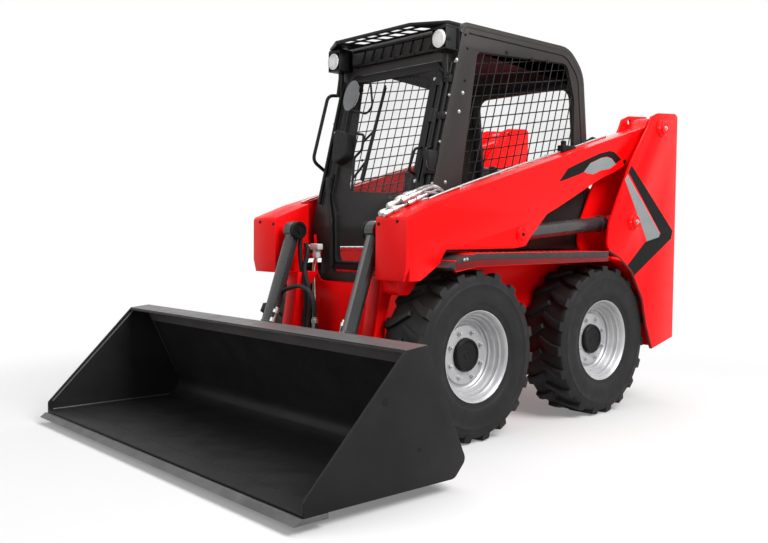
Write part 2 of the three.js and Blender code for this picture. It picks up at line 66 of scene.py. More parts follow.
# Camera, lamps, floor and world
cameraSet = {"place": (3.1575, -3.0370, 0.940), "lens": 40.62, "yaw": 47.883, "rise": 2.616,
             "roll": 0.546}
lampSet = {
    "key": {"place": (4.6, 0.4, 4.9), "aim": (0, 0.2, 0.8), "size": 3.4, "power": 540},
    "front": {"place": (-1.5, -6.0, 3.4), "aim": (0, 0, 0.7), "size": 4.0, "power": 150},
    "top": {"place": (-0.5, 0.8, 6.0), "aim": (0, 0, 0.5), "size": 5.0, "power": 240},
    "rear": {"place": (-3.5, 5.0, 3.0), "aim": (0, 0, 0.8), "size": 4.0, "power": 120},
}
worldSet = {"seen": 1.0, "fill": 0.34}
floorShade = 0.58
floorSet = {"From Min": 1.9, "From Max": 3.6, "To Min": 0.20, "To Max": 1.0}


def placeCamera():
    yaw, rise, roll = (math.radians(cameraSet[key]) for key in ("yaw", "rise", "roll"))
    back = Vector((math.sin(yaw) * math.cos(rise), -math.cos(yaw) * math.cos(rise), math.sin(rise)))
    right = (-back).cross(Vector((0, 0, 1))).normalized()
    up = right.cross(-back)
    cos, sin = math.cos(roll), math.sin(roll)
    turned = Matrix((right * cos + up * sin, up * cos - right * sin, back)).transposed()
    data = bpy.data.cameras.new("camera")
    data.sensor_width = 36
    data.lens = cameraSet["lens"]
    data.clip_end = 200
    camera = bpy.data.objects.new("camera", data)
    camera.matrix_world = Matrix.Translation(cameraSet["place"]) @ turned.to_4x4()
    scene.collection.objects.link(camera)
    scene.camera = camera


def placeLamps():
    for name, lamp in lampSet.items():
        data = bpy.data.lights.new(name + "_lamp", "AREA")
        data.energy = lamp["power"]
        data.size = lamp["size"]
        light = bpy.data.objects.new(name + "_lamp", data)
        light.location = lamp["place"]
        light.rotation_euler = (Vector(lamp["aim"]) - Vector(lamp["place"])).to_track_quat("-Z",
                "Y").to_euler()
        light.visible_camera = False
        scene.collection.objects.link(light)


def raySwitch(tree):                  # 1 for rays that should meet the white background
    path = tree.nodes.new("ShaderNodeLightPath")
    first = tree.nodes.new("ShaderNodeMath")
    first.operation = "MAXIMUM"
    tree.links.new(path.outputs["Is Camera Ray"], first.inputs[0])
    tree.links.new(path.outputs["Is Glossy Ray"], first.inputs[1])
    both = tree.nodes.new("ShaderNodeMath")
    both.operation = "MAXIMUM"
    tree.links.new(first.outputs[0], both.inputs[0])
    tree.links.new(path.outputs["Is Transmission Ray"], both.inputs[1])
    return both.outputs[0]


def makeWorld():
    world = bpy.data.worlds.new("studio")
    world.use_nodes = True
    tree = world.node_tree
    sky = tree.nodes["Background"]
    sky.inputs["Color"].default_value = (1, 1, 1, 1)
    seen = raySwitch(tree)
    strength = tree.nodes.new("ShaderNodeMapRange")
    strength.inputs["To Min"].default_value = worldSet["fill"]
    strength.inputs["To Max"].default_value = worldSet["seen"]
    tree.links.new(seen, strength.inputs["Value"])
    tree.links.new(strength.outputs["Result"], sky.inputs["Strength"])
    scene.world = world


def makeFloor():
    bm = bmesh.new()
    bmesh.ops.create_circle(bm, cap_ends=True, segments=64, radius=60)
    bmesh.ops.translate(bm, verts=bm.verts, vec=(0, 0, -0.0005))
    mesh = bpy.data.meshes.new("floor")
    bm.to_mesh(mesh)
    bm.free()
    floor = bpy.data.objects.new("floor", mesh)
    scene.collection.objects.link(floor)
    mat = bpy.data.materials.new("floor_white")
    mat.use_nodes = True
    tree = mat.node_tree
    tree.nodes.clear()
    out = tree.nodes.new("ShaderNodeOutputMaterial")
    matt = tree.nodes.new("ShaderNodeBsdfDiffuse")
    matt.inputs["Color"].default_value = (floorShade, floorShade, floorShade, 1)
    glow = tree.nodes.new("ShaderNodeEmission")
    glow.inputs["Color"].default_value = (1, 1, 1, 1)
    glow.inputs["Strength"].default_value = 1.0
    place = tree.nodes.new("ShaderNodeTexCoord")
    reach = tree.nodes.new("ShaderNodeVectorMath")
    reach.operation = "LENGTH"
    tree.links.new(place.outputs["Object"], reach.inputs[0])
    fade = tree.nodes.new("ShaderNodeMapRange")   # the floor turns plain white away from the machine
    fade.interpolation_type = "SMOOTHSTEP"
    for key, value in floorSet.items():
        fade.inputs[key].default_value = value
    tree.links.new(reach.outputs["Value"], fade.inputs["Value"])
    share = tree.nodes.new("ShaderNodeMath")
    share.operation = "MULTIPLY"
    seen = raySwitch(tree)
    blend = tree.nodes.new("ShaderNodeMixShader")
    tree.links.new(seen, share.inputs[0])
    tree.links.new(fade.outputs["Result"], share.inputs[1])
    tree.links.new(share.outputs[0], blend.inputs[0])
    tree.links.new(matt.outputs[0], blend.inputs[1])
    tree.links.new(glow.outputs[0], blend.inputs[2])
    tree.links.new(blend.outputs[0], out.inputs[0])
    mesh.materials.append(mat)


placeCamera()
placeLamps()
makeWorld()
makeFloor()
scene.view_settings.view_transform = "Standard"
print("stage: camera, lamps, floor")


# Finishes: every one varies over the surface by noise on object coordinates
def link(tree, source, target):
    tree.links.new(source, target)


def noise(tree, scale, detail=3.0, rough=0.5, stretch=None):
    place = tree.nodes.new("ShaderNodeTexCoord")
    vector = place.outputs["Object"]
    if stretch:
        mapping = tree.nodes.new("ShaderNodeMapping")
        mapping.inputs["Scale"].default_value = stretch
        link(tree, vector, mapping.inputs["Vector"])
        vector = mapping.outputs["Vector"]
    node = tree.nodes.new("ShaderNodeTexNoise")
    node.inputs["Scale"].default_value = scale
    node.inputs["Detail"].default_value = detail
    node.inputs["Roughness"].default_value = rough
    link(tree, vector, node.inputs["Vector"])
    return node.outputs["Fac"]


def ranged(tree, value, low, high, fromLow=0.3, fromHigh=0.7):
    node = tree.nodes.new("ShaderNodeMapRange")
    node.inputs["From Min"].default_value = fromLow
    node.inputs["From Max"].default_value = fromHigh
    node.inputs["To Min"].default_value = low
    node.inputs["To Max"].default_value = high
    link(tree, value, node.inputs["Value"])
    return node.outputs["Result"]


def tinted(tree, factor, first, second):
    node = tree.nodes.new("ShaderNodeMix")
    node.data_type = "RGBA"
    node.inputs["A"].default_value = (*first, 1)
    node.inputs["B"].default_value = (*second, 1)
    link(tree, factor, node.inputs["Factor"])
    return node.outputs["Result"]


def bumped(tree, height, strength, distance, base=None):
    node = tree.nodes.new("ShaderNodeBump")
    node.inputs["Strength"].default_value = strength
    node.inputs["Distance"].default_value = distance
    link(tree, height, node.inputs["Height"])
    if base:
        link(tree, base, node.inputs["Normal"])
    return node.outputs["Normal"]


def newFinish(name):
    mat = bpy.data.materials.new(name)
    mat.use_nodes = True
    return mat, mat.node_tree, mat.node_tree.nodes["Principled BSDF"]


# colour pair, roughness pair, metallic, coat, patch scale (1/m), grain scale and grain height (m)
finishSet = {
    "red_paint": ((0.86, 0.002, 0.003), (0.81, 0.002, 0.003), (0.30, 0.38), 0.0, 0.0, 7, 260, 0.00008),
    # painted shade: a darkened copy of the red, for the fender skirt's band in shadow
    "painted_shade_red": ((0.16, 0.004, 0.005), (0.12, 0.004, 0.005), (0.4, 0.5), 0.0, 0.0, 7, 260, 0.00012),
    "black_paint": ((0.006, 0.006, 0.006), (0.009, 0.009, 0.009), (0.38, 0.50), 0.0, 0.0, 6, 320,
                    0.00015),
    "bucket_paint": ((0.0075, 0.0075, 0.0075), (0.0115, 0.0115, 0.0115), (0.38, 0.50), 0.0, 0.0, 5, 240,
                     0.00020),
    # painted highlight: a lighter grey for the black bucket's lip, bar and edge beads, where they catch the light
    "lip_painted_highlight": ((0.078, 0.070, 0.070), (0.058, 0.054, 0.054), (0.34, 0.46), 0.0, 0.0, 6, 260, 0.00015),
    "edge_steel": ((0.058, 0.056, 0.056), (0.092, 0.089, 0.089), (0.45, 0.6), 0.1, 0.0, 9, 300, 0.00020),
    # grip strip colour, also used for the dark slabs that are painted shade on the fender's sloped front
    "grip_and_painted_shade": ((0.034, 0.026, 0.026), (0.024, 0.019, 0.019), (0.45, 0.6), 0.0, 0.0, 20, 500, 0.00060),
    "cylinder_paint": ((0.022, 0.023, 0.024), (0.030, 0.031, 0.032), (0.25, 0.34), 0.0, 0.3, 9, 300,
                       0.00010),
    "rim_silver": ((0.44, 0.44, 0.445), (0.34, 0.34, 0.35), (0.36, 0.48), 0.45, 0.0, 11, 420, 0.00010),
    "chrome": ((0.72, 0.73, 0.74), (0.62, 0.63, 0.64), (0.10, 0.18), 1.0, 0.0, 14, 600, 0.00003),
    "zinc": ((0.50, 0.50, 0.48), (0.38, 0.38, 0.37), (0.24, 0.36), 0.8, 0.0, 60, 900, 0.00008),
    "hose_silver": ((0.30, 0.28, 0.28), (0.17, 0.16, 0.16), (0.3, 0.45), 0.4, 0.0, 60, 900, 0.00040),
    "mirror_face": ((0.16, 0.17, 0.17), (0.12, 0.12, 0.13), (0.08, 0.14), 0.4, 0.0, 12, 500, 0.00002),
    "cab_paint": ((0.023, 0.020, 0.019), (0.017, 0.0155, 0.015), (0.42, 0.55), 0.0, 0.0, 4, 340, 0.00012),
    # black for hubs, bezels and vents, used also as painted shade for the cab's groove line and the bucket's holes
    "black_and_painted_shade": ((0.007, 0.007, 0.007), (0.010, 0.010, 0.010), (0.4, 0.5), 0.0, 0.0, 20, 400, 0.00010),
    "hose_rubber": ((0.012, 0.012, 0.012), (0.018, 0.018, 0.018), (0.45, 0.6), 0.0, 0.0, 40, 900,
                    0.00025),
    "cab_plastic": ((0.014, 0.014, 0.015), (0.010, 0.010, 0.011), (0.55, 0.7), 0.0, 0.0, 20, 1100,
                    0.00030),
    "engine_iron": ((0.030, 0.031, 0.031), (0.050, 0.050, 0.048), (0.5, 0.65), 0.3, 0.0, 18, 260,
                    0.00050),
    "decal_grey": ((0.165, 0.180, 0.182), (0.19, 0.205, 0.208), (0.35, 0.45), 0.0, 0.0, 12, 500, 0.00003),
    "decal_black": ((0.004, 0.004, 0.004), (0.006, 0.006, 0.006), (0.45, 0.55), 0.0, 0.0, 12, 500,
                    0.00003),
    "lamp_glass": ((0.80, 0.80, 0.78), (0.70, 0.70, 0.69), (0.10, 0.2), 0.0, 0.6, 30, 700, 0.00030),
    "lamp_red": ((0.45, 0.01, 0.01), (0.38, 0.01, 0.01), (0.12, 0.2), 0.0, 0.5, 30, 700, 0.00030),
    "lamp_amber": ((0.75, 0.22, 0.01), (0.66, 0.18, 0.01), (0.12, 0.2), 0.0, 0.5, 30, 700, 0.00030),
    "plug_white": ((0.78, 0.78, 0.76), (0.70, 0.70, 0.68), (0.4, 0.5), 0.0, 0.0, 30, 700, 0.00010),
    "wire_yellow": ((0.75, 0.62, 0.22), (0.66, 0.55, 0.18), (0.4, 0.5), 0.0, 0.0, 30, 700, 0.00010),
    "belt_red": ((0.28, 0.010, 0.012), (0.22, 0.008, 0.010), (0.6, 0.7), 0.0, 0.0, 40, 900, 0.00030),
}
# specular level where it is below the usual half
dullSet = {"bucket_paint": 0.13, "black_paint": 0.14, "cab_paint": 0.20, "cab_plastic": 0.16,
           "engine_iron": 0.15,
           "black_and_painted_shade": 0.10, "hose_rubber": 0.15, "grip_and_painted_shade": 0.2, "red_paint": 0.13,
           "cylinder_paint": 0.36,
           "decal_black": 0.08, "decal_grey": 0.2, "painted_shade_red": 0.15, "lip_painted_highlight": 0.25,
           "edge_steel": 0.3}
finishes = {}


def makeFinishes():
    for name, (light, dark, rough, metal, coat, patch, grain, height) in finishSet.items():
        mat, tree, shader = newFinish(name)
        patches = noise(tree, patch, 4.0)
        link(tree, tinted(tree, ranged(tree, patches, 0, 1), light, dark), shader.inputs["Base Color"])
        link(tree, ranged(tree, noise(tree, patch * 2.3, 2.0), *rough), shader.inputs["Roughness"])
        link(tree, bumped(tree, noise(tree, grain, 2.0), 0.35, height), shader.inputs["Normal"])
        shader.inputs["Metallic"].default_value = metal
        shader.inputs["Coat Weight"].default_value = coat
        shader.inputs["Coat Roughness"].default_value = 0.08
        shader.inputs["Specular IOR Level"].default_value = dullSet.get(name, 0.5)
        finishes[name] = mat


rubberTones = [(0.0065, 0.0065, 0.0065), (0.0110, 0.0105, 0.0105)]
rubberGloss = 0.22


def makeRubber():
    mat, tree, shader = newFinish("tyre_rubber")
    patches = noise(tree, 9, 5.0)
    link(tree, tinted(tree, ranged(tree, patches, 0, 1), *rubberTones), shader.inputs["Base Color"])
    shader.inputs["Specular IOR Level"].default_value = rubberGloss
    link(tree, ranged(tree, noise(tree, 22, 3.0), 0.52, 0.70), shader.inputs["Roughness"])
    link(tree, bumped(tree, noise(tree, 420, 3.0), 0.5, 0.0004), shader.inputs["Normal"])
    finishes["tyre_rubber"] = mat


def makeVinyl():
    mat, tree, shader = newFinish("seat_vinyl")
    place = tree.nodes.new("ShaderNodeTexCoord")
    cells = tree.nodes.new("ShaderNodeTexVoronoi")
    cells.inputs["Scale"].default_value = 320
    link(tree, place.outputs["Object"], cells.inputs["Vector"])
    link(tree, tinted(tree, ranged(tree, noise(tree, 14, 4.0), 0, 1), (0.016, 0.016, 0.017),
                      (0.026, 0.026, 0.027)), shader.inputs["Base Color"])
    link(tree, ranged(tree, noise(tree, 30, 2.0), 0.42, 0.6), shader.inputs["Roughness"])
    link(tree, bumped(tree, cells.outputs["Distance"], 0.4, 0.0006), shader.inputs["Normal"])
    finishes["seat_vinyl"] = mat


def makeGlass():
    mat, tree, shader = newFinish("window_glass")
    smoke = noise(tree, 3, 2.0)
    link(tree, tinted(tree, ranged(tree, smoke, 0, 1), (0.10, 0.11, 0.11), (0.16, 0.15, 0.15)),
         shader.inputs["Base Color"])
    link(tree, ranged(tree, smoke, 0.05, 0.11), shader.inputs["Alpha"])
    link(tree, ranged(tree, noise(tree, 8, 2.0), 0.02, 0.06), shader.inputs["Roughness"])
    shader.inputs["IOR"].default_value = 1.5
    finishes["window_glass"] = mat


makeFinishes()
makeRubber()
makeVinyl()
makeGlass()
print("stage: finishes", len(finishes))

slotFinish = {
    "red_paint": "red_paint", "black_paint": "black_paint", "bucket_paint": "bucket_paint",
    "tyre_rubber": "tyre_rubber", "rim_paint": "rim_silver", "rod_chrome": "chrome",
    "window_glass": "window_glass", "lamp_lens": "lamp_glass", "seat_vinyl": "seat_vinyl",
    "cab_plastic": "cab_plastic", "engine_iron": "engine_iron",
}
nodeFinish = {"cutting_edge": "edge_steel", "cab_frame": "cab_paint"}
for barrel in ("lift_barrel_left", "lift_barrel_right", "tilt_barrel_left", "tilt_barrel_right"):
    nodeFinish[barrel] = "cylinder_paint"
for row in frame["record"]["subparts"]:
    node = nodes[row["node"]]
    node.data.materials.clear()
    node.data.materials.append(finishes[nodeFinish.get(row["node"], slotFinish[row["material_slot"]])])
print("stage: CAD nodes painted")

# Shape helpers: each adds to an open bmesh, keep() closes it and makes the piece
def keep(bm, name, finish, body, replaced=(), sharp=32):
    bmesh.ops.remove_doubles(bm, verts=bm.verts, dist=1e-6)
    bmesh.ops.recalc_face_normals(bm, faces=bm.faces)
    for face in bm.faces:
        face.smooth = True
    for edge in bm.edges:
        edge.smooth = len(edge.link_faces) == 2 and edge.calc_face_angle(0) < math.radians(sharp)
    mesh = bpy.data.meshes.new(name)
    bm.to_mesh(mesh)
    bm.free()
    mesh.materials.append(finishes[finish])
    piece = bpy.data.objects.new(name, mesh)
    scene.collection.objects.link(piece)
    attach(piece, body)
    if replaced:
        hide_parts(*replaced)
    return piece


def soften(bm, edges, width, segments=2):
    bmesh.ops.bevel(bm, geom=edges, offset=width, segments=segments, profile=0.5, affect="EDGES",
                    clamp_overlap=True, material=-1)


def addBox(bm, low, high, round=0.002, segments=2, place=None):
    low, high = Vector(low), Vector(high)
    made = bmesh.ops.create_cube(bm, size=1)["verts"]
    bmesh.ops.scale(bm, vec=high - low, verts=made)
    bmesh.ops.translate(bm, vec=(low + high) / 2, verts=made)
    if place:
        bmesh.ops.transform(bm, matrix=place, verts=made)
    if round:
        soften(bm, list({edge for vert in made for edge in vert.link_edges}), round, segments)


def planePoint(plane, a, b, depth):   # a, b in the plane, depth along its normal
    return {"x": (depth, a, b), "y": (a, depth, b), "z": (a, b, depth)}[plane]


def rounded(corners, steps=5):        # corners (a, b, radius) to points, arcs at the corners
    points = []
    for i, corner in enumerate(corners):
        here = Vector(corner[:2])
        radius = corner[2] if len(corner) > 2 else 0
        if not radius:
            points.append(tuple(here))
            continue
        back = (Vector(corners[i - 1][:2]) - here).normalized()
        ahead = (Vector(corners[(i + 1) % len(corners)][:2]) - here).normalized()
        half = math.acos(max(-1, min(1, back.dot(ahead)))) / 2
        middle = here + (back + ahead).normalized() * radius / math.sin(half)
        start = here + back * radius / math.tan(half) - middle
        stop = here + ahead * radius / math.tan(half) - middle
        turn = start.angle_signed(stop)
        for step in range(steps + 1):
            points.append(tuple(middle + Matrix.Rotation(-turn * step / steps, 2) @ start))
    return points


def addSlab(bm, corners, plane, low, high, round=0.0015, segments=2, steps=5):
    verts = [bm.verts.new(at(*planePoint(plane, a, b, low))) for a, b in rounded(corners, steps)]
    face = bm.faces.new(verts)
    grown = bmesh.ops.extrude_face_region(bm, geom=[face])["geom"]
    top = [item for item in grown if isinstance(item, bmesh.types.BMVert)]
    bmesh.ops.translate(bm, vec=Vector(planePoint(plane, 0, 0, high - low)), verts=top)
    if round:
        rims = [edge for vert in verts + top for edge in vert.link_edges
                if edge.is_valid and (set(edge.verts) <= set(verts) or set(edge.verts) <= set(top))]
        soften(bm, list(set(rims)), round, segments)


def turnedAlong(centre, direction):   # matrix that takes +Z to a direction at a place
    return Matrix.Translation(centre) @ Vector(direction).to_track_quat("Z", "Y").to_matrix().to_4x4()


def addTurned(bm, profile, centre, direction, steps=32):   # profile of (along, radius)
    verts = [bm.verts.new((radius, 0, along)) for along, radius in profile]
    edges = [bm.edges.new(pair) for pair in zip(verts, verts[1:])]
    bmesh.ops.spin(bm, geom=verts + edges, cent=(0, 0, 0), axis=(0, 0, 1), angle=2 * math.pi,
                   steps=steps, use_merge=True)
    ring = set(verts)
    reached = list(verts)
    while reached:                    # everything the spin joined on to the profile
        vert = reached.pop()
        for edge in vert.link_edges:
            other = edge.other_vert(vert)
            if other not in ring:
                ring.add(other)
                reached.append(other)
    bmesh.ops.remove_doubles(bm, verts=list(ring), dist=1e-6)
    ring = [vert for vert in ring if vert.is_valid]
    bmesh.ops.transform(bm, matrix=turnedAlong(centre, direction), verts=ring)


def addBar(bm, start, end, radius, sides=10, endRadius=None):
    start, end = Vector(start), Vector(end)
    matrix = turnedAlong((start + end) / 2, end - start)
    bmesh.ops.create_cone(bm, cap_ends=True, segments=sides, radius1=radius, radius2=endRadius or radius,
                          depth=(end - start).length, matrix=matrix)


def addBolt(bm, centre, direction, size=0.012):   # hexagon head on a washer
    centre, direction = Vector(centre), Vector(direction).normalized()
    addTurned(bm, [(0, 0), (0, size * 0.95), (size * 0.18, size * 0.95), (size * 0.22, size * 0.62),
                   (size * 0.62, size * 0.60), (size * 0.72, size * 0.42), (size * 0.72, 0)], centre,
                   direction, 12)


def addPipe(bm, points, radius, sides=3, smooth=6, cyclic=False):
    data = bpy.data.curves.new("route", "CURVE")
    data.dimensions = "3D"
    data.bevel_depth = radius
    data.bevel_resolution = sides
    data.use_fill_caps = True
    spline = data.splines.new("BEZIER" if smooth else "POLY")
    if smooth:
        spline.bezier_points.add(len(points) - 1)
        for knot, point in zip(spline.bezier_points, points):
            knot.co = point
            knot.handle_left_type = knot.handle_right_type = "AUTO"
        data.resolution_u = smooth
    else:
        spline.points.add(len(points) - 1)
        for knot, point in zip(spline.points, points):
            knot.co = (*point, 1)
    spline.use_cyclic_u = cyclic
    route = bpy.data.objects.new("route", data)
    scene.collection.objects.link(route)
    bpy.context.view_layer.update()
    shaped = route.evaluated_get(bpy.context.evaluated_depsgraph_get())
    mesh = bpy.data.meshes.new_from_object(shaped)
    bm.from_mesh(mesh)
    bpy.data.meshes.remove(mesh)
    bpy.data.objects.remove(route)


def bent(points, radius, steps=4):    # a path with its corners rounded, for bent tube
    points = [Vector(point) for point in points]
    path = [points[0]]
    for before, corner, after in zip(points, points[1:], points[2:]):
        back, ahead = (before - corner).normalized(), (after - corner).normalized()
        half = back.angle(ahead) / 2
        reach = min(radius / math.tan(half), (before - corner).length * 0.48,
                    (after - corner).length * 0.48)
        for step in range(steps + 1):
            share = step / steps
            path.append(corner + back * reach * (1 - share) ** 2 + ahead * reach * share ** 2)
    path.append(points[-1])
    return path


# Sheet metal: copies of the CAD solids with their edges softened
sheetSet = {
    "width": 0.003, "segments": 2,
    "names": ["chassis_frame", "tower_left", "tower_right", "fender_left", "fender_right", "engine_block",
              "rear_bumper", "cab_frame", "hood", "rear_door", "lift_arm_left", "lift_arm_right",
              "coupler_plate", "bucket_shell", "front_door_frame", "seat_base",
              "console_left", "console_right"],
}
slotOf = {row["node"]: row["material_slot"] for row in frame["record"]["subparts"]}
bodyOf = {node: body for body, members in frame["record"]["behaviour"]["bodies"].items()
          for node in members}


def softenNode(name):
    bm = bmesh.new()
    bm.from_mesh(nodes[name].data)
    bmesh.ops.remove_doubles(bm, verts=bm.verts, dist=2e-5)
    bmesh.ops.dissolve_limit(bm, angle_limit=math.radians(0.6), verts=bm.verts, edges=bm.edges)
    bmesh.ops.dissolve_degenerate(bm, edges=bm.edges, dist=5e-5)
    corners = [edge for edge in bm.edges if len(edge.link_faces) == 2
               and edge.calc_face_angle(0) > math.radians(28)]
    soften(bm, corners, sheetSet["width"], sheetSet["segments"])
    slot = slotOf[name]
    keep(bm, name + "_skin", nodeFinish.get(name, slotFinish[slot]), bodyOf[name], [name])


for name in sheetSet["names"]:
    softenNode(name)
print("stage: sheet metal", len(sheetSet["names"]))

# Wheels
wheelSet = {
    "radius": 0.388, "treadBase": 0.3685, "lugs": 19, "boltRing": 0.108, "bolts": 8,
    "tyreOuter": [(0.094, 0.2010), (0.104, 0.2070), (0.1125, 0.2130), (0.1150, 0.2200), (0.1165, 0.2330),
                  (0.1195, 0.2370), (0.1225, 0.2450), (0.1245, 0.2650), (0.1255, 0.2950),
                  (0.1250, 0.3160),
                  (0.1265, 0.3190), (0.1265, 0.3250), (0.1245, 0.3280), (0.1235, 0.3400),
                  (0.1210, 0.3540), (0.1160, 0.3630),
                  (0.1060, 0.3680)],
    "tyreInner": [(0.082, 0.2010), (0.104, 0.2750), (0.104, 0.3300), (0.094, 0.3480)],
    "rim": [(0.0, 0.076), (0.034, 0.076), (0.0355, 0.078), (0.0355, 0.128), (0.0335, 0.134),
            (0.0250, 0.1400),
            (0.0235, 0.1470), (0.0300, 0.1545), (0.0400, 0.1560), (0.0425, 0.1590), (0.0425, 0.1640),
            (0.0455, 0.1665), (0.0600, 0.1690), (0.0630, 0.1715), (0.0630, 0.1765), (0.0660, 0.1790),
            (0.0820, 0.1820),
            (0.0850, 0.1850), (0.0850, 0.1900), (0.0880, 0.1925), (0.1010, 0.1950), (0.1040, 0.1975),
            (0.1105, 0.2020), (0.1130, 0.2050), (0.1130, 0.2080), (0.1115, 0.2080), (0.1050, 0.2030),
            (0.0950, 0.1990), (-0.0950, 0.1990), (-0.1110, 0.2080), (-0.1130, 0.2080), (-0.1060, 0.1990),
            (-0.0950, 0.1930), (0.0400, 0.1860), (0.0200, 0.1600), (0.0120, 0.1400), (0.0, 0.130),
            (0.0, 0.076)],
    "crown": [(0.085, 0.3690), (0.030, 0.3700)],
    "lug": [(0.1225, -0.026), (0.1225, 0.026), (0.070, 0.036), (0.030, 0.058), (-0.006, 0.078),
            (-0.018, 0.052),
            (0.016, 0.026), (0.060, -0.008), (0.100, -0.026)],
    "lugFoot": 0.012, "lugTaper": (0.90, 0.86, 1), "lugEdge": 0.004, "shoulder": 0.11,
    "shoulderDrop": 0.006,
    "nutOut": 0.0352,
    "nut": [(0, 0), (0, 0.0125), (0.0025, 0.0122), (0.0035, 0.0095), (0.0120, 0.0092), (0.0130, 0.0068),
            (0.0130, 0.0058), (0.0180, 0.0056), (0.0190, 0.0040), (0.0190, 0)],
    "hub": [(-0.055, 0.0), (-0.055, 0.075), (0.0500, 0.0750), (0.0560, 0.0700), (0.0560, 0.0640),
            (0.0500, 0.0600),
            (0.0480, 0.0200), (0.0500, 0.0180), (0.0500, 0.0)],
}


def mirroredProfile(half):            # the other half of a profile that is the same on both sides
    return half + [(-along, radius) for along, radius in reversed(half)]


def addLug(bm, side, angle):          # one tread bar, flat first and then wrapped round the tyre
    radius = wheelSet["radius"]
    foot = wheelSet["treadBase"] - wheelSet["lugFoot"]
    verts = [bm.verts.new((a * side, b, foot)) for a, b in wheelSet["lug"]]
    face = bm.faces.new(verts)
    grown = bmesh.ops.extrude_face_region(bm, geom=[face])["geom"]
    top = [item for item in grown if isinstance(item, bmesh.types.BMVert)]
    bmesh.ops.translate(bm, vec=(0, 0, radius - 0.0008 - foot), verts=top)
    middle = sum((vert.co for vert in top), Vector()) / len(top)
    bmesh.ops.translate(bm, vec=-middle, verts=top)
    bmesh.ops.scale(bm, vec=wheelSet["lugTaper"], verts=top)
    bmesh.ops.translate(bm, vec=middle, verts=top)
    for vert in verts:                # the foot of the lug runs down the shoulder
        if abs(vert.co.x) > wheelSet["shoulder"]:
            vert.co.z -= wheelSet["shoulderDrop"]
    nearTop = {edge for vert in top for edge in vert.link_edges}
    topEdges = [edge for edge in nearTop if set(edge.verts) <= set(top)]
    made = bmesh.ops.bevel(bm, geom=topEdges, offset=wheelSet["lugEdge"], segments=2, profile=0.5,
                           affect="EDGES",
                           clamp_overlap=True, material=-1)
    lug = {vert for vert in verts if vert.is_valid} | {vert for face in made["faces"]
            for vert in face.verts}
    reached = list(lug)
    while reached:
        vert = reached.pop()
        for edge in vert.link_edges:
            other = edge.other_vert(vert)
            if other not in lug:
                lug.add(other)
                reached.append(other)
    for vert in lug:
        turn = vert.co.y / radius + angle
        vert.co = Vector((vert.co.x, math.sin(turn) * vert.co.z, math.cos(turn) * vert.co.z))


def buildWheel(end, side):
    centre = wheelPlace[end, side]
    body = f"wheel_{end}_{sideNames[side]}"
    tag = f"{end}_{sideNames[side]}"
    outward = (side, 0, 0)
    bm = bmesh.new()
    outer = mirroredProfile(wheelSet["tyreOuter"] + wheelSet["crown"])
    inner = mirroredProfile(wheelSet["tyreInner"])
    profile = outer + list(reversed(inner)) + [outer[0]]
    addTurned(bm, profile, (0, 0, 0), outward, 72)
    step = 2 * math.pi / wheelSet["lugs"]
    for count in range(wheelSet["lugs"]):
        addLug(bm, 1, count * step)
        addLug(bm, -1, (count + 0.5) * step)
    bmesh.ops.translate(bm, vec=centre, verts=bm.verts)
    keep(bm, "tyre_" + tag + "_tread", "tyre_rubber", body, [f"tyre_{tag}"])

    bm = bmesh.new()
    addTurned(bm, wheelSet["rim"], centre, outward, 64)
    keep(bm, "rim_" + tag + "_disc", "rim_silver", body, [f"rim_{tag}"])
    bm = bmesh.new()
    addTurned(bm, wheelSet["hub"], centre, outward, 40)
    keep(bm, "hub_" + tag, "black_and_painted_shade", body)
    bm = bmesh.new()
    for count in range(wheelSet["bolts"]):
        angle = (count + 0.5) * 2 * math.pi / wheelSet["bolts"]
        ring = wheelSet["boltRing"]
        spot = Vector((side * wheelSet["nutOut"], math.sin(angle) * ring, math.cos(angle) * ring))
        addTurned(bm, wheelSet["nut"], centre + spot, outward, 12)
    keep(bm, "wheel_nuts_" + tag, "rim_silver", body)


for end, side in wheelPlace:
    buildWheel(end, side)
print("stage: wheels")

# Side screens: slanting wires welded into a rounded window
screenSet = {
    "x": 0.398, "wire": 0.0029, "pitch": 0.0555, "lean": 16, "rise": 9, "middle": 1.48, "weave": 0.0024,
    "overlap": 0.006, "shortest": 0.03, "rim": 0.0055,
    "window": [(-0.440, 1.150, 0.03), (0.430, 1.150, 0.03), (0.428, 1.640, 0.06), (0.360, 1.822, 0.05),
               (-0.335, 1.785, 0.03)],
}


def chord(outline, point, direction):  # where a line crosses a convex outline
    crossings = []
    for (a0, b0), (a1, b1) in zip(outline, outline[1:] + outline[:1]):
        edge = Vector((a1 - a0, b1 - b0))
        cross = direction.x * edge.y - direction.y * edge.x
        if abs(cross) < 1e-9:
            continue
        gap = Vector((a0, b0)) - point
        along = (gap.x * edge.y - gap.y * edge.x) / cross
        share = (gap.x * direction.y - gap.y * direction.x) / cross
        if 0 <= share <= 1:
            crossings.append(point + direction * along)
    if len(crossings) < 2:
        return None
    crossings.sort(key=lambda spot: spot.dot(direction))
    return crossings[0], crossings[-1]


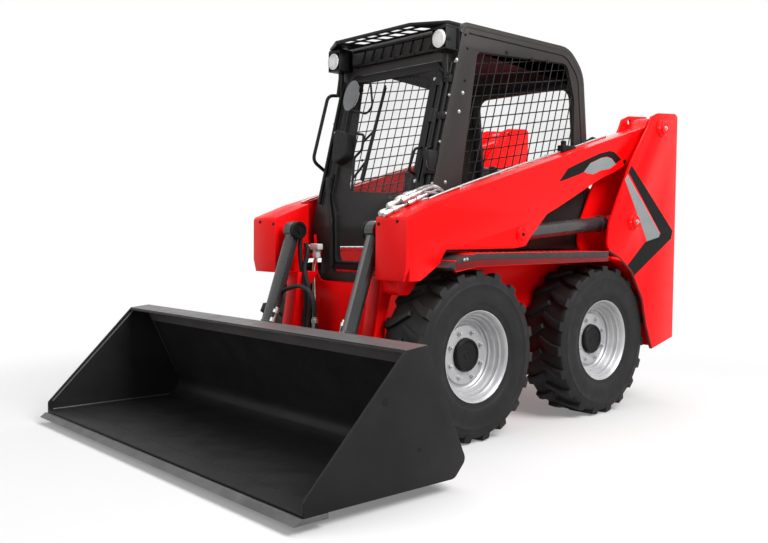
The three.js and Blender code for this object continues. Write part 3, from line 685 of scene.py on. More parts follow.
def buildScreen(side):
    outline = rounded(screenSet["window"], 6)
    middle = Vector((0, screenSet["middle"]))
    weave, overlap = screenSet["weave"], screenSet["overlap"]
    bm = bmesh.new()
    lean, rise = math.radians(screenSet["lean"]), math.radians(screenSet["rise"])
    upright, level = Vector((math.sin(lean), math.cos(lean))), Vector((math.cos(rise), math.sin(rise)))
    families = [(upright, level, weave), (level, upright, -weave)]
    for direction, stepping, lift in families:
        for count in range(-12, 13):
            ends = chord(outline, middle + stepping * count * screenSet["pitch"], direction)
            if not ends or (ends[1] - ends[0]).length < screenSet["shortest"]:
                continue
            x = side * (screenSet["x"] + lift)
            low, high = ends[0] - direction * overlap, ends[1] + direction * overlap
            addBar(bm, at(x, *low), at(x, *high), screenSet["wire"], 6)
    ring = [at(side * screenSet["x"], a, b) for a, b in outline]
    addPipe(bm, ring, screenSet["rim"], 2, 0, True)
    keep(bm, f"side_screen_{sideNames[side]}_wires", "black_paint", "chassis",
         [f"side_screen_{sideNames[side]}"], 60)


for side in sideNames:
    buildScreen(side)
print("stage: side screens")

# Cab: rounded edge tube, a black line as painted shade of the groove below it, bolts and brackets
frontPlane = {"y": -0.668, "z": 0.965, "rake": 0.2539}


def doorY(z):                         # the cab's front plane
    return frontPlane["y"] + (z - frontPlane["z"]) * frontPlane["rake"]


cabSet = {
    "half": 0.412, "tube": 0.0195, "tubeIn": 0.018, "tubeBend": 0.16, "shadeLine": 0.0032, "shadeLineBend": 0.13,
    "brightSize": 0.0095, "darkSize": 0.0080, "clipX": 0.408, "clipSize": (0.006, 0.012, 0.010),
    "bracket": [(0.560, 1.375, 0.01), (0.636, 1.425, 0.014), (0.650, 1.460, 0.012), (0.600, 1.465, 0.012),
                (0.545, 1.440, 0.01)],
    "eye": [(0, 0.006), (0.0, 0.014), (0.014, 0.014), (0.014, 0.006), (0, 0.006)],
    "eyePlace": (0.406, 0.612, 1.440),
    "edge": [(-0.438, 1.856), (-0.421, 1.888), (0.372, 1.888), (0.486, 1.786), (0.592, 0.900)],
    "groove": [(-0.395, 1.860), (0.350, 1.860), (0.455, 1.762), (0.556, 0.930)],
    "brightBolts": [(-0.434, 1.583), (-0.457, 1.495), (-0.477, 1.727), (-0.542, 1.168)],
    "darkBolts": [(-0.420, 1.850), (-0.405, 1.790), (-0.333, 1.325), (-0.420, 1.640), (-0.300, 1.112),
                  (0.000, 1.120)],
    "clips": [(-0.126, 1.812), (0.069, 1.806), (0.192, 1.812), (-0.395, 1.120), (0.020, 1.132),
              (0.380, 1.132)],
}


def buildCabEdges(side):
    half, outward = cabSet["half"], (side, 0, 0)
    bm = bmesh.new()
    x = side * (half - cabSet["tubeIn"])
    path = bent([at(x, *point) for point in cabSet["edge"]], cabSet["tubeBend"], 10)
    addPipe(bm, path, cabSet["tube"], 4, 0)
    keep(bm, "cab_edge_tube_" + sideNames[side], "cab_paint", "chassis")
    # thin black line along the groove under the edge tube: painted shade, the groove's shadow drawn as a dark
    # strip
    bm = bmesh.new()
    path = bent([at(side * (half + 0.0004), *point) for point in cabSet["groove"]], cabSet["shadeLineBend"],
                10)
    addPipe(bm, path, cabSet["shadeLine"], 2, 0)
    keep(bm, "cab_groove_shade_" + sideNames[side], "black_and_painted_shade", "chassis", (), 60)
    bm = bmesh.new()
    for y, z in cabSet["brightBolts"]:
        addBolt(bm, at(side * (half - 0.0005), y, z), outward, cabSet["brightSize"])
    keep(bm, "cab_bolts_" + sideNames[side], "zinc", "chassis")
    bm = bmesh.new()
    for y, z in cabSet["darkBolts"]:
        addBolt(bm, at(side * (half - 0.0005), y, z), outward, cabSet["darkSize"])
    reach = Vector(cabSet["clipSize"])
    for y, z in cabSet["clips"]:      # small clips that hold the screen
        middle = at(side * cabSet["clipX"], y, z)
        addBox(bm, middle - reach, middle + reach, 0.002)
        addBolt(bm, at(side * (half + 0.0015), y, z), outward, 0.007)
    # lower rear bracket and the eye of the small stay that holds it
    addSlab(bm, cabSet["bracket"], "x", side * (half - 0.008), side * half, 0.001)
    x, y, z = cabSet["eyePlace"]
    addTurned(bm, cabSet["eye"], at(side * x, y, z), outward, 16)
    keep(bm, "cab_clips_" + sideNames[side], "black_paint", "chassis")


for side in sideNames:
    buildCabEdges(side)

# Roof visor: a slotted sheet, its rounded lip, lamp housings and ribs underneath
visorSet = {
    "top": 1.892, "thick": 0.004, "slotEnds": 0.246, "slots": 6, "rib": 0.020, "skew": 0.030,
    "rows": [(-0.622, -0.566), (-0.546, -0.490)], "back": -0.462, "front": -0.640, "corner": 0.267,
    "edge": 0.426,
    "cut": 0.092, "border": 0.012,
    "lip": [(-0.418, -0.470), (-0.418, -0.548), (-0.264, -0.633), (0.264, -0.633), (0.418, -0.548),
            (0.418, -0.470)],
    "lipRadius": 0.0085, "lipDrop": 0.008,
}
headerSet = {
    "ribs": 8, "ribStart": -0.250, "ribStep": 0.070, "low": 1.800, "high": 1.864, "half": 0.328,
    "bolts": 5, "boltStep": 0.14,
}
lampBox = {"inner": 0.332, "outer": 0.424, "front": -0.560, "back": -0.470, "wall": 0.007, "stay": 0.378}


def visorFront(x):                    # the sheet's front edge, with its two corners cut off
    beyond = max(abs(x) - visorSet["corner"], 0)
    return visorSet["front"] + beyond / (visorSet["edge"] - visorSet["corner"]) * visorSet["cut"]


def buildVisor():
    ends, rib = visorSet["slotEnds"], visorSet["rib"]
    width = (2 * ends - (visorSet["slots"] - 1) * rib) / visorSet["slots"]
    columns = [-visorSet["edge"], -visorSet["corner"]]
    for count in range(visorSet["slots"]):
        low = -ends + count * (width + rib)
        columns += [low, low + width]
    columns += [visorSet["corner"], visorSet["edge"]]
    rows = ["front", *[edge for row in visorSet["rows"] for edge in row], "back"]
    bm = bmesh.new()
    grid = []
    for row in rows:
        line = []
        for x in columns:
            edge = abs(x) > 0.26
            y = visorFront(x) if row == "front" else visorSet["back"] if row == "back" else row
            border = visorFront(x) + visorSet["border"]
            if edge and row not in ("front", "back") and y < border:
                y = border + (y + 0.622) * 0.1
            slant = 0 if edge or row in ("front", "back") else (y + 0.55) * visorSet["skew"] / 0.07
            line.append(bm.verts.new(at(x + slant, y, visorSet["top"] - visorSet["thick"])))
        grid.append(line)
    for r in range(len(rows) - 1):
        for c in range(len(columns) - 1):
            if r in (1, 3) and c % 2 == 0 and 2 <= c <= 12:
                continue
            bm.faces.new((grid[r][c], grid[r][c + 1], grid[r + 1][c + 1], grid[r + 1][c]))
    bmesh.ops.recalc_face_normals(bm, faces=bm.faces)
    bottom = list(bm.faces)
    grown = bmesh.ops.extrude_face_region(bm, geom=bottom, use_keep_orig=True)["geom"]
    top = [item for item in grown if isinstance(item, bmesh.types.BMVert)]
    bmesh.ops.translate(bm, vec=(0, 0, visorSet["thick"]), verts=top)
    bmesh.ops.recalc_face_normals(bm, faces=bm.faces)
    upright = [edge for edge in bm.edges if abs(edge.verts[0].co.z - edge.verts[1].co.z) > 0.003
               and len(edge.link_faces) == 2 and edge.calc_face_angle(0) > 0.5]
    soften(bm, upright, 0.007, 3)
    rims = [edge for edge in bm.edges if len(edge.link_faces) == 2 and edge.calc_face_angle(0) > 1.2]
    soften(bm, rims, 0.0008, 1)
    lip = [at(x, y, visorSet["top"] - visorSet["lipDrop"]) for x, y in visorSet["lip"]]
    addPipe(bm, bent(lip, 0.03, 3), visorSet["lipRadius"], 3, 0)
    keep(bm, "roof_visor_grille", "black_paint", "chassis", ["roof_visor"], 40)


def buildHousings():
    bm = bmesh.new()
    front, back, wall = lampBox["front"], lampBox["back"], lampBox["wall"]
    for side in sideNames:
        x0, x1 = sorted((side * lampBox["inner"], side * lampBox["outer"]))
        stay = side * lampBox["stay"]
        addBox(bm, at(x0, front, 1.858), at(x1, back, 1.878), 0.006)
        addBox(bm, at(x0, front, 1.766), at(x1, back, 1.774), 0.003)
        addBox(bm, at(x0, front, 1.768), at(x0 + wall, back, 1.868), 0.003)
        addBox(bm, at(x1 - wall, front, 1.768), at(x1, back, 1.868), 0.003)
        addBox(bm, at(x0, -0.500, 1.768), at(x1, -0.472, 1.868), 0.003)
        addBox(bm, at(stay - 0.014, -0.520, 1.640), at(stay + 0.014, -0.500, 1.770), 0.004)
        addBar(bm, at(stay, -0.512, 1.764), at(side * 0.392, -0.520, 1.640), 0.010, 12)
    low, high, half = headerSet["low"], headerSet["high"], headerSet["half"]
    for count in range(headerSet["ribs"]):   # slanting ribs of the header vent
        x = headerSet["ribStart"] + count * headerSet["ribStep"]
        rib = [(x - 0.028, low), (x - 0.020, low), (x + 0.012, high), (x + 0.004, high)]
        addSlab(bm, [(*corner, 0.003) for corner in rib], "y", -0.464, -0.455, 0.001)
    addBox(bm, at(-half, -0.476, 1.862), at(half, -0.456, 1.874), 0.003)
    addBox(bm, at(-half, -0.482, 1.786), at(half, -0.456, 1.802), 0.004)
    for count in range(headerSet["bolts"]):
        addBolt(bm, at(-0.28 + count * headerSet["boltStep"], -0.484, 1.794), (0, -1, 0), 0.006)
    keep(bm, "lamp_housings", "black_paint", "chassis")


workLamp = {
    "place": (0.380, -0.561, 1.816),
    "bezel": [(0.0, 0.0420), (0.0, 0.0450), (-0.004, 0.0465), (-0.030, 0.0465), (-0.030, 0.0420),
              (0.0, 0.0420)],
    "lensBody": [(-0.020, 0.0), (-0.020, 0.0416), (-0.002, 0.0416)], "domeHeight": 0.0055,
    "domeRadius": 0.0414,
    "flutes": 5, "flutePitch": 0.0065, "fluteReach": 0.036, "flute": 0.0014, "fluteOut": 0.0052,
}


def buildLamp(side):
    x, y, z = workLamp["place"]
    face = at(side * x, y, z)
    bm = bmesh.new()
    addTurned(bm, workLamp["bezel"], face, (0, -1, 0), 40)
    keep(bm, "lamp_bezel_" + sideNames[side], "black_and_painted_shade", "chassis")
    bm = bmesh.new()
    profile = list(workLamp["lensBody"])
    for step in range(7, -1, -1):     # the lens's dome
        angle = step * math.pi / 16
        along = 0.0005 + workLamp["domeHeight"] * math.cos(angle)
        profile.append((along, workLamp["domeRadius"] * math.sin(angle)))
    addTurned(bm, profile, face, (0, -1, 0), 40)
    for count in range(-workLamp["flutes"], workLamp["flutes"] + 1):   # fine upright flutes on the lens
        across = count * workLamp["flutePitch"]
        reach = math.sqrt(workLamp["fluteReach"] ** 2 - across ** 2)
        low, high = (face + Vector((across, -workLamp["fluteOut"], end)) for end in (-reach, reach))
        addBar(bm, low, high, workLamp["flute"], 6)
    keep(bm, "lamp_lens_" + sideNames[side], "lamp_glass", "chassis",
         ["work_light_" + sideNames[side]], 50)


buildVisor()
buildHousings()
for side in sideNames:
    buildLamp(side)
print("stage: visor and lamps")

# Decals: plain stripes and patches without any lettering
decalSet = {
    "thick": 0.0008, "armX": 0.565, "towerX": 0.624, "over": 0.0003,
    "armBlack": [(0.100, 1.192), (0.172, 1.262), (0.238, 1.286), (0.443, 1.355), (0.530, 1.374),
                 (0.574, 1.373),
                 (0.643, 1.338), (0.592, 1.311), (0.553, 1.338), (0.509, 1.343), (0.458, 1.334),
                 (0.361, 1.301),
                 (0.307, 1.254), (0.280, 1.242)],
    "armGrey": [(0.307, 1.254), (0.361, 1.299), (0.459, 1.333), (0.509, 1.341), (0.553, 1.335),
                (0.592, 1.309),
                (0.533, 1.281), (0.461, 1.270), (0.390, 1.246), (0.335, 1.247)],
    "towerBlack": [(0.650, 1.305), (0.621, 1.266), (0.953, 0.948), (0.938, 0.926), (0.800, 0.899),
                   (0.633, 0.776),
                   (0.697, 0.719), (1.066, 0.917), (1.081, 0.962)],
    "towerGrey": [(0.614, 1.253), (0.589, 1.226), (0.799, 0.930), (0.816, 0.903), (0.938, 0.926),
                  (0.945, 0.948)],
}


def addDecal(outline, x, side, name, finish, body, lift=0.0):
    bm = bmesh.new()
    addSlab(bm, outline, "x", side * (x - decalSet["over"] + lift), side * (x + decalSet["thick"] + lift),
            0)
    keep(bm, f"{name}_{sideNames[side]}", finish, body)


for side in sideNames:
    armX, towerX, over = decalSet["armX"], decalSet["towerX"], decalSet["over"]
    addDecal(decalSet["armBlack"], armX, side, "arm_stripe", "decal_black", "lift_arms")
    addDecal(decalSet["armGrey"], armX, side, "arm_patch", "decal_grey", "lift_arms", over)
    addDecal(decalSet["towerBlack"], towerX, side, "tower_stripe", "decal_black", "chassis")
    addDecal(decalSet["towerGrey"], towerX, side, "tower_patch", "decal_grey", "chassis", over)

# Pin bosses, arm details, fender strips and the fender's painted shade band
bossSet = {
    "large": [(0.0, 0.0), (0.0, 0.050), (0.004, 0.050), (0.006, 0.046), (0.014, 0.044), (0.018, 0.040),
              (0.020, 0.032),
              (0.026, 0.031), (0.028, 0.029), (0.028, 0.0)],
    "small": [(0.0, 0.0), (0.0, 0.034), (0.004, 0.034), (0.006, 0.030), (0.010, 0.028), (0.010, 0.0)],
    "plug": [(0, 0), (0, 0.0075), (0.003, 0.0075), (0.0045, 0.005), (0.0045, 0)],
    "pinCap": [(0.0, 0.0), (0.0, 0.0395), (-0.012, 0.0395), (-0.012, 0.0435), (0.003, 0.0435),
               (0.006, 0.0400),
               (0.006, 0.0300), (0.001, 0.0280), (0.001, 0.0140), (0.006, 0.0120), (0.006, 0.0)],
    "ring": 0.038, "armPin": (0.935, 1.520), "liftBase": (0.671, 1.006), "rodPin": (-0.185, 0.935),
    "towerX": 0.624, "armX": 0.5705, "lockX": 0.470, "tiltPin": (0.2570, -0.865, 0.944),
    "boxFront": -0.9252,
}


def bossWithBolts(bm, bolts, centre, side, profile, ring, size):
    addTurned(bm, bossSet[profile], centre, (side, 0, 0), 36)
    top = bossSet[profile][-1][0]
    addBolt(bolts, centre + Vector((side * (top - 0.0005), 0, 0)), (side, 0, 0), size)
    for count in range(3):
        angle = count * 2 * math.pi / 3 + 0.5
        spot = Vector((side * 0.013, math.sin(angle) * ring, math.cos(angle) * ring))
        if ring:
            addBolt(bolts, centre + spot, (side, 0, 0), size * 0.5)


for side in sideNames:
    bm, bolts = bmesh.new(), bmesh.new()
    for pin in ("armPin", "liftBase"):
        place = at(side * bossSet["towerX"], *bossSet[pin])
        bossWithBolts(bm, bolts, place, side, "large", bossSet["ring"], 0.014)
    keep(bm, "tower_bosses_" + sideNames[side], "red_paint", "chassis")
    keep(bolts, "tower_boss_bolts_" + sideNames[side], "zinc", "chassis")
    bm, bolts = bmesh.new(), bmesh.new()
    bossWithBolts(bm, bolts, at(side * bossSet["armX"], *bossSet["rodPin"]), side, "small", 0, 0.010)
    for x, z in ((0.508, 0.984), (0.390, 0.974)):
        addTurned(bolts, bossSet["plug"], at(side * x, bossSet["boxFront"], z), (0, -1, 0), 16)
    addBolt(bolts, at(side * 0.5652, 0.674, 1.328), (side, 0, 0), 0.013)
    lock = side * bossSet["lockX"]    # the block and peg on the arm that hold it for servicing
    addBox(bolts, at(lock - 0.020, 0.235, 1.345), at(lock + 0.020, 0.345, 1.390), 0.006)
    addBar(bolts, at(lock, 0.262, 1.380), at(lock, 0.262, 1.412), 0.014, 14)
    x, y, z = bossSet["tiltPin"]
    addTurned(bolts, bossSet["pinCap"], at(side * x, y, z), (-side, 0, 0), 28)
    keep(bm, "arm_boss_" + sideNames[side], "red_paint", "lift_arms")
    keep(bolts, "arm_bolts_" + sideNames[side], "black_and_painted_shade", "lift_arms")

fenderSet = {
    "face": 0.6235, "gripOut": 0.6262, "shadeBandOut": 0.6252, "shadeCoverIn": 0.420, "shadeCoverOut": 0.6245,
    "archX": 0.6185,
    "archRadius": 0.0085, "archBend": 0.12, "boltX": 0.6258, "boltSize": 0.0075,
    "studRows": 4, "studs": 22, "studPitch": 0.043, "rowPitch": 0.020, "studTop": 0.8518,
    "studStart": -0.52,
    "studEnd": 0.43, "studX": 0.590, "stud": [(0, 0), (0, 0.008), (0.002, 0.007), (0.002, 0)],
    "grip": [(0.452, 0.8505), (-0.545, 0.8505), (-0.640, 0.8350), (-0.690, 0.8160), (-0.690, 0.8040),
             (-0.640, 0.8120),
             (-0.545, 0.8230), (0.452, 0.8210)],
    "lower": [(0.452, 0.8205), (-0.545, 0.8225), (-0.640, 0.8115), (-0.690, 0.8035), (-0.688, 0.7750),
              (-0.540, 0.7945),
              (0.452, 0.8010)],
    "bolts": [(-0.640, 0.824), (-0.622, 0.826)],
    "slope": [(-0.545, 0.8520), (-0.640, 0.8366), (-0.692, 0.8176), (-0.692, 0.8160), (-0.640, 0.8348),
              (-0.545, 0.8500)],
    "nose": [(-0.6895, 0.8176), (-0.715, 0.8070), (-0.750, 0.7920), (-0.750, 0.7890), (-0.715, 0.7900),
             (-0.6895, 0.7750)],
    "arch": [(0.452, 0.858), (0.554, 0.818), (0.674, 0.742), (0.784, 0.590), (0.829, 0.440),
             (0.889, 0.316)],
}


def bentFlat(points, radius):
    return [tuple(point.yz) for point in bent([(0, *point) for point in points], radius, 5)]


for side in sideNames:
    bm = bmesh.new()
    face = side * fenderSet["face"]
    addSlab(bm, fenderSet["grip"], "x", face, side * fenderSet["gripOut"], 0.0008)
    # the slope and nose slabs cover the shelf's sloped front top in the grip's dark colour: painted shade for the
    # shadow there
    inner, outer = sorted((side * fenderSet["shadeCoverIn"], side * fenderSet["shadeCoverOut"]))
    for shape in ("slope", "nose"):
        addSlab(bm, fenderSet[shape], "x", inner, outer, 0.0005)
    keep(bm, "fender_grip_and_shade_" + sideNames[side], "grip_and_painted_shade", "chassis")
    # darker red band low on the skirt and a bead round the wheel arch: painted shade where the fender falls into
    # shadow
    bm = bmesh.new()
    addSlab(bm, fenderSet["lower"], "x", face, side * fenderSet["shadeBandOut"], 0.0005)
    arch = bentFlat(fenderSet["arch"], fenderSet["archBend"])
    addPipe(bm, [at(side * fenderSet["archX"], *point) for point in arch], fenderSet["archRadius"], 3, 0)
    keep(bm, "fender_shade_band_" + sideNames[side], "painted_shade_red", "chassis", (), 60)
    bm = bmesh.new()
    for y, z in fenderSet["bolts"]:
        addBolt(bm, at(side * fenderSet["boltX"], y, z), (side, 0, 0), fenderSet["boltSize"])
    keep(bm, "fender_bolts_" + sideNames[side], "zinc", "chassis")
    bm = bmesh.new()                  # raised studs on the step
    for row in range(fenderSet["studRows"]):
        x = side * (fenderSet["studX"] - row * fenderSet["rowPitch"])
        for count in range(fenderSet["studs"]):
            y = fenderSet["studStart"] + count * fenderSet["studPitch"] + (row % 2) * fenderSet["rowPitch"]
            if y < fenderSet["studEnd"]:
                addTurned(bm, fenderSet["stud"], at(x, y, fenderSet["studTop"]), (0, 0, 1), 8)
    keep(bm, "fender_studs_" + sideNames[side], "grip_and_painted_shade", "chassis")
print("stage: decals and fenders")

# Front door fittings: mirror, wiper and its motor, seals and hinges
def onDoor(x, z, out):                # a point that far in front of the door's plane
    return at(x, doorY(z) - out, z)


doorSet = {
    "mirror": [(-0.312, 1.704), (-0.126, 1.690), (-0.070, 1.556), (-0.104, 1.520), (-0.292, 1.572)],
    "mirrorOut": 0.044, "mirrorTube": 0.0055, "mirrorPlace": (-0.248, 1.628, 0.046),
    "mirrorShape": (0.76, 1.10, 1),
    "mirrorDish": [(-0.010, 0.0), (-0.008, 0.060), (0.002, 0.072), (0.006, 0.074), (0.008, 0.072),
                   (0.008, 0.0)],
    "blade": [(-0.032, 1.660), (-0.065, 1.190)],
    "link": [(-0.168, 1.428), (-0.104, 1.418), (-0.096, 1.342), (-0.142, 1.305), (-0.110, 1.143)],
    "linkOut": 0.034, "tube": 0.0065,
    "stays": [((-0.100, 1.380), (-0.050, 1.430)), ((-0.120, 1.200), (-0.055, 1.290))],
    "motor": [(-0.318, 1.452, 0.02), (-0.208, 1.425, 0.02), (-0.178, 1.300, 0.03), (-0.275, 1.262, 0.03)],
    "motorDepth": 0.052, "motorBolts": [(-0.300, 1.440), (-0.222, 1.424)],
    "doorBolts": [(-0.300, 1.160), (0.306, 1.174), (0.306, 1.124), (-0.306, 1.650), (0.306, 1.650)],
    "pane": [(-0.286, 1.092, 0.03), (-0.214, 0.992, 0.03), (-0.200, 0.790, 0.02), (0.200, 0.790, 0.02),
             (0.214, 0.992, 0.03), (0.286, 1.092, 0.03), (0.286, 1.697, 0.03), (-0.286, 1.697, 0.03)],
    "rail": [(-0.300, 1.230, 0.024), (-0.292, 1.110, 0.026)], "railFoot": [(-0.222, -0.694, 0.985),
            (-0.208, -0.700, 0.770)],
    "handle": [(0.308, 1.330, 0.016), (0.300, 1.320, 0.050), (0.286, 1.220, 0.050),
               (0.294, 1.205, 0.016)],
    "lockZ": 1.175,
}
doorNormal = Vector((0, -0.969, 0.246)).normalized()


def buildDoor():
    out, tube = doorSet["mirrorOut"], doorSet["tube"]
    bm = bmesh.new()
    loop = [onDoor(x, z, out) for x, z in doorSet["mirror"]]
    loop = bent(loop[-1:] + loop + loop[:1], 0.045, 5)
    addPipe(bm, loop[1:-1], doorSet["mirrorTube"], 3, 0)
    addBar(bm, onDoor(-0.210, 1.655, 0.016), onDoor(-0.210, 1.655, out), 0.010, 14)
    addBar(bm, onDoor(-0.300, 1.700, out), onDoor(-0.310, 1.700, 0.014), 0.007, 12)
    keep(bm, "mirror_frame", "cab_plastic", "front_door", (), 60)
    bm = bmesh.new()
    addTurned(bm, doorSet["mirrorDish"], (0, 0, 0), (0, 0, 1), 40)
    bmesh.ops.scale(bm, vec=doorSet["mirrorShape"], verts=bm.verts)
    facing = turnedAlong(onDoor(*doorSet["mirrorPlace"]), doorNormal)
    bmesh.ops.transform(bm, matrix=facing, verts=bm.verts)
    keep(bm, "mirror_glass", "mirror_face", "front_door")
    bm = bmesh.new()                  # wiper: blade, arm and linkage
    top, bottom = doorSet["blade"]
    addBar(bm, onDoor(*top, 0.020), onDoor(*bottom, 0.020), 0.0055, 10, 0.0115)
    addBar(bm, onDoor(top[0], top[1] - 0.01, 0.012), onDoor(bottom[0], bottom[1] + 0.01, 0.012), 0.0035,
           6)
    addPipe(bm, bent([onDoor(x, z, doorSet["linkOut"]) for x, z in doorSet["link"]], 0.02), tube, 3, 0)
    for low, high in doorSet["stays"]:
        addBar(bm, onDoor(*low, doorSet["linkOut"]), onDoor(*high, 0.022), 0.0060, 10)
    keep(bm, "wiper_arm", "cab_plastic", "front_door", (), 60)
    bm = bmesh.new()
    verts = [bm.verts.new(onDoor(x, z, 0.014)) for x, z in rounded(doorSet["motor"], 5)]
    grown = bmesh.ops.extrude_face_region(bm, geom=[bm.faces.new(verts)])["geom"]
    lifted = [item for item in grown if isinstance(item, bmesh.types.BMVert)]
    bmesh.ops.translate(bm, vec=doorNormal * doorSet["motorDepth"], verts=lifted)
    soften(bm, [edge for edge in bm.edges if set(edge.verts) <= set(lifted)], 0.012, 4)
    keep(bm, "wiper_motor", "cab_plastic", "front_door")
    bm = bmesh.new()
    for x, z in doorSet["motorBolts"]:
        addBolt(bm, onDoor(x, z, 0.060), doorNormal, 0.010)
    for x, z in doorSet["doorBolts"]:
        addBolt(bm, onDoor(x, z, 0.0155), doorNormal, 0.009)
    keep(bm, "door_bolts", "zinc", "front_door")
    bm = bmesh.new()                  # rubber seal round the pane, upright below the rake
    seal = [onDoor(x, z, 0.010) if z > frontPlane["z"] else at(x, -0.680, z) for x,
            z in rounded(doorSet["pane"], 4)]
    addPipe(bm, seal, tube, 3, 0, True)
    keep(bm, "door_seal", "hose_rubber", "front_door", (), 60)
    bm = bmesh.new()                  # tube down the door's hinge side, its handle and lock
    rail = [onDoor(*point) for point in doorSet["rail"]] + [at(*point) for point in doorSet["railFoot"]]
    addPipe(bm, bent(rail, 0.05), 0.0100, 4, 0)
    addPipe(bm, bent([onDoor(*point) for point in doorSet["handle"]], 0.02), tube, 3, 0)
    lockY = doorY(doorSet["lockZ"])
    addBox(bm, at(-0.322, lockY - 0.040, 1.125), at(-0.286, lockY - 0.014, 1.215), 0.005)
    keep(bm, "door_rails", "black_paint", "front_door", (), 60)


postSet = {
    "tubes": [(0.360, 0.0130, 0.020), (0.392, 0.0085, 0.014), (-0.372, 0.0110, 0.016)], "high": 1.715,
    "low": 1.080,
    "hinges": (1.640, 1.470, 1.130), "hingeX": 0.352, "lowerHinges": (0.905, 0.780), "latchZ": 1.255,
    "latchBar": [(0.372, 1.330, 0.010), (0.372, 1.318, 0.052), (0.404, 1.222, 0.052),
                 (0.404, 1.214, 0.006)],
    "grab": [(-0.396, -0.446, 1.655), (-0.404, -0.575, 1.643), (-0.404, -0.672, 1.301),
             (-0.396, -0.580, 1.238)],
    "bolts": [(0.404, 1.565), (0.404, 1.480), (0.402, 1.350), (0.404, 1.160), (0.404, 1.722),
              (-0.404, 1.500),
              (-0.404, 1.120)],
}


def buildPosts():
    bm = bmesh.new()
    for x, radius, out in postSet["tubes"]:
        addBar(bm, onDoor(x, postSet["high"], out), onDoor(x, postSet["low"], out), radius, 16)
    hingeX = postSet["hingeX"]
    for z in postSet["hinges"]:
        addBar(bm, onDoor(hingeX, z - 0.032, 0.024), onDoor(hingeX, z + 0.032, 0.024), 0.0170, 18)
        addBox(bm, at(0.346, doorY(z) - 0.024, z - 0.018), at(0.408, doorY(z) + 0.004, z + 0.018), 0.004)
    latchY = doorY(postSet["latchZ"])
    addBox(bm, at(0.372, latchY - 0.052, 1.200), at(0.408, latchY + 0.010, 1.310), 0.006)
    addPipe(bm, bent([onDoor(*point) for point in postSet["latchBar"]], 0.02), 0.0065, 3, 0)
    addBar(bm, onDoor(0.340, 1.700, 0.030), onDoor(0.404, 1.655, 0.022), 0.0110, 12)
    for z in postSet["lowerHinges"]:
        addBox(bm, at(0.262, -0.700, z - 0.030), at(0.310, -0.680, z + 0.030), 0.004)
    keep(bm, "post_fittings", "black_paint", "chassis", (), 60)
    bm = bmesh.new()
    route = [at(*point) for point in postSet["grab"]]
    addPipe(bm, bent(route, 0.045, 6), 0.0090, 4, 0)
    for spot in (route[0], route[-1]):
        addBar(bm, spot + Vector((0, -0.016, 0)), spot + Vector((0, 0.006, 0)), 0.0150, 16)
    keep(bm, "grab_bar", "black_paint", "chassis", (), 60)
    bm = bmesh.new()
    for x, z in postSet["bolts"]:
        addBolt(bm, onDoor(x, z, 0.0005), doorNormal, 0.0090)
    keep(bm, "post_bolts", "zinc", "chassis")


buildDoor()
buildPosts()
print("stage: door")

# Hoses, fittings and couplers
hoseSet = {
    "hose": 0.0105, "legHose": 0.0115, "thin": 0.0035,
    "fitting": [(0.0, 0.0), (0.0, 0.0150), (0.018, 0.0150), (0.020, 0.0125), (0.044, 0.0125),
                (0.046, 0.0160),
                (0.062, 0.0160), (0.064, 0.0120), (0.074, 0.0120), (0.074, 0.0)],
    "arch": [(-0.255, -1.030, 0.500), (-0.258, -0.998, 0.572), (-0.284, -0.962, 0.630),
             (-0.214, -0.952, 0.668),
             (-0.100, -0.950, 0.674), (-0.042, -0.950, 0.640), (-0.020, -0.950, 0.550),
             (-0.024, -0.945, 0.400),
             (-0.060, -0.940, 0.312)],
    "near": [(0.248, -0.985, 0.560), (0.246, -1.012, 0.470), (0.200, -0.975, 0.390),
             (0.100, -0.942, 0.315)],
    "ends": [((-0.256, -1.026, 0.506), (0, 0.42, 0.9)), ((-0.020, -0.950, 0.470), (0, 0, 1)),
             ((0.246, -1.010, 0.482), (0, 0.30, 0.95)), ((-0.060, -0.940, 0.306), (0.1, 0, 1)),
             ((0.104, -0.942, 0.304), (0, 0, 1))],
    "legPitch": 0.026, "panelY": -0.722, "cableEnd": -0.332,
    "cables": [("cable_yellow", "wire_yellow",
                [(-0.300, 0.812), (-0.372, 0.775), (-0.376, 0.690), (-0.366, 0.600), (-0.362, 0.470)]),
               ("cable_white", "plug_white", [(-0.288, 0.806), (-0.322, 0.752), (-0.320, 0.670),
                       (-0.312, 0.560)])],
}


def legRoute(shift):                  # down the inner face of the far leg to the cross tube
    top = [at(-0.300 + shift * 0.3, -0.826 + shift, 0.905 - shift),
           at(-0.297 + shift, -0.830 + shift, 0.846)]
    return top + [at(-0.285 + shift, -0.830, 0.755), at(-0.240 + shift, -0.840, 0.665),
                  at(-0.234 + shift, -0.850, 0.480), at(-0.200 + shift, -0.930, 0.310)]


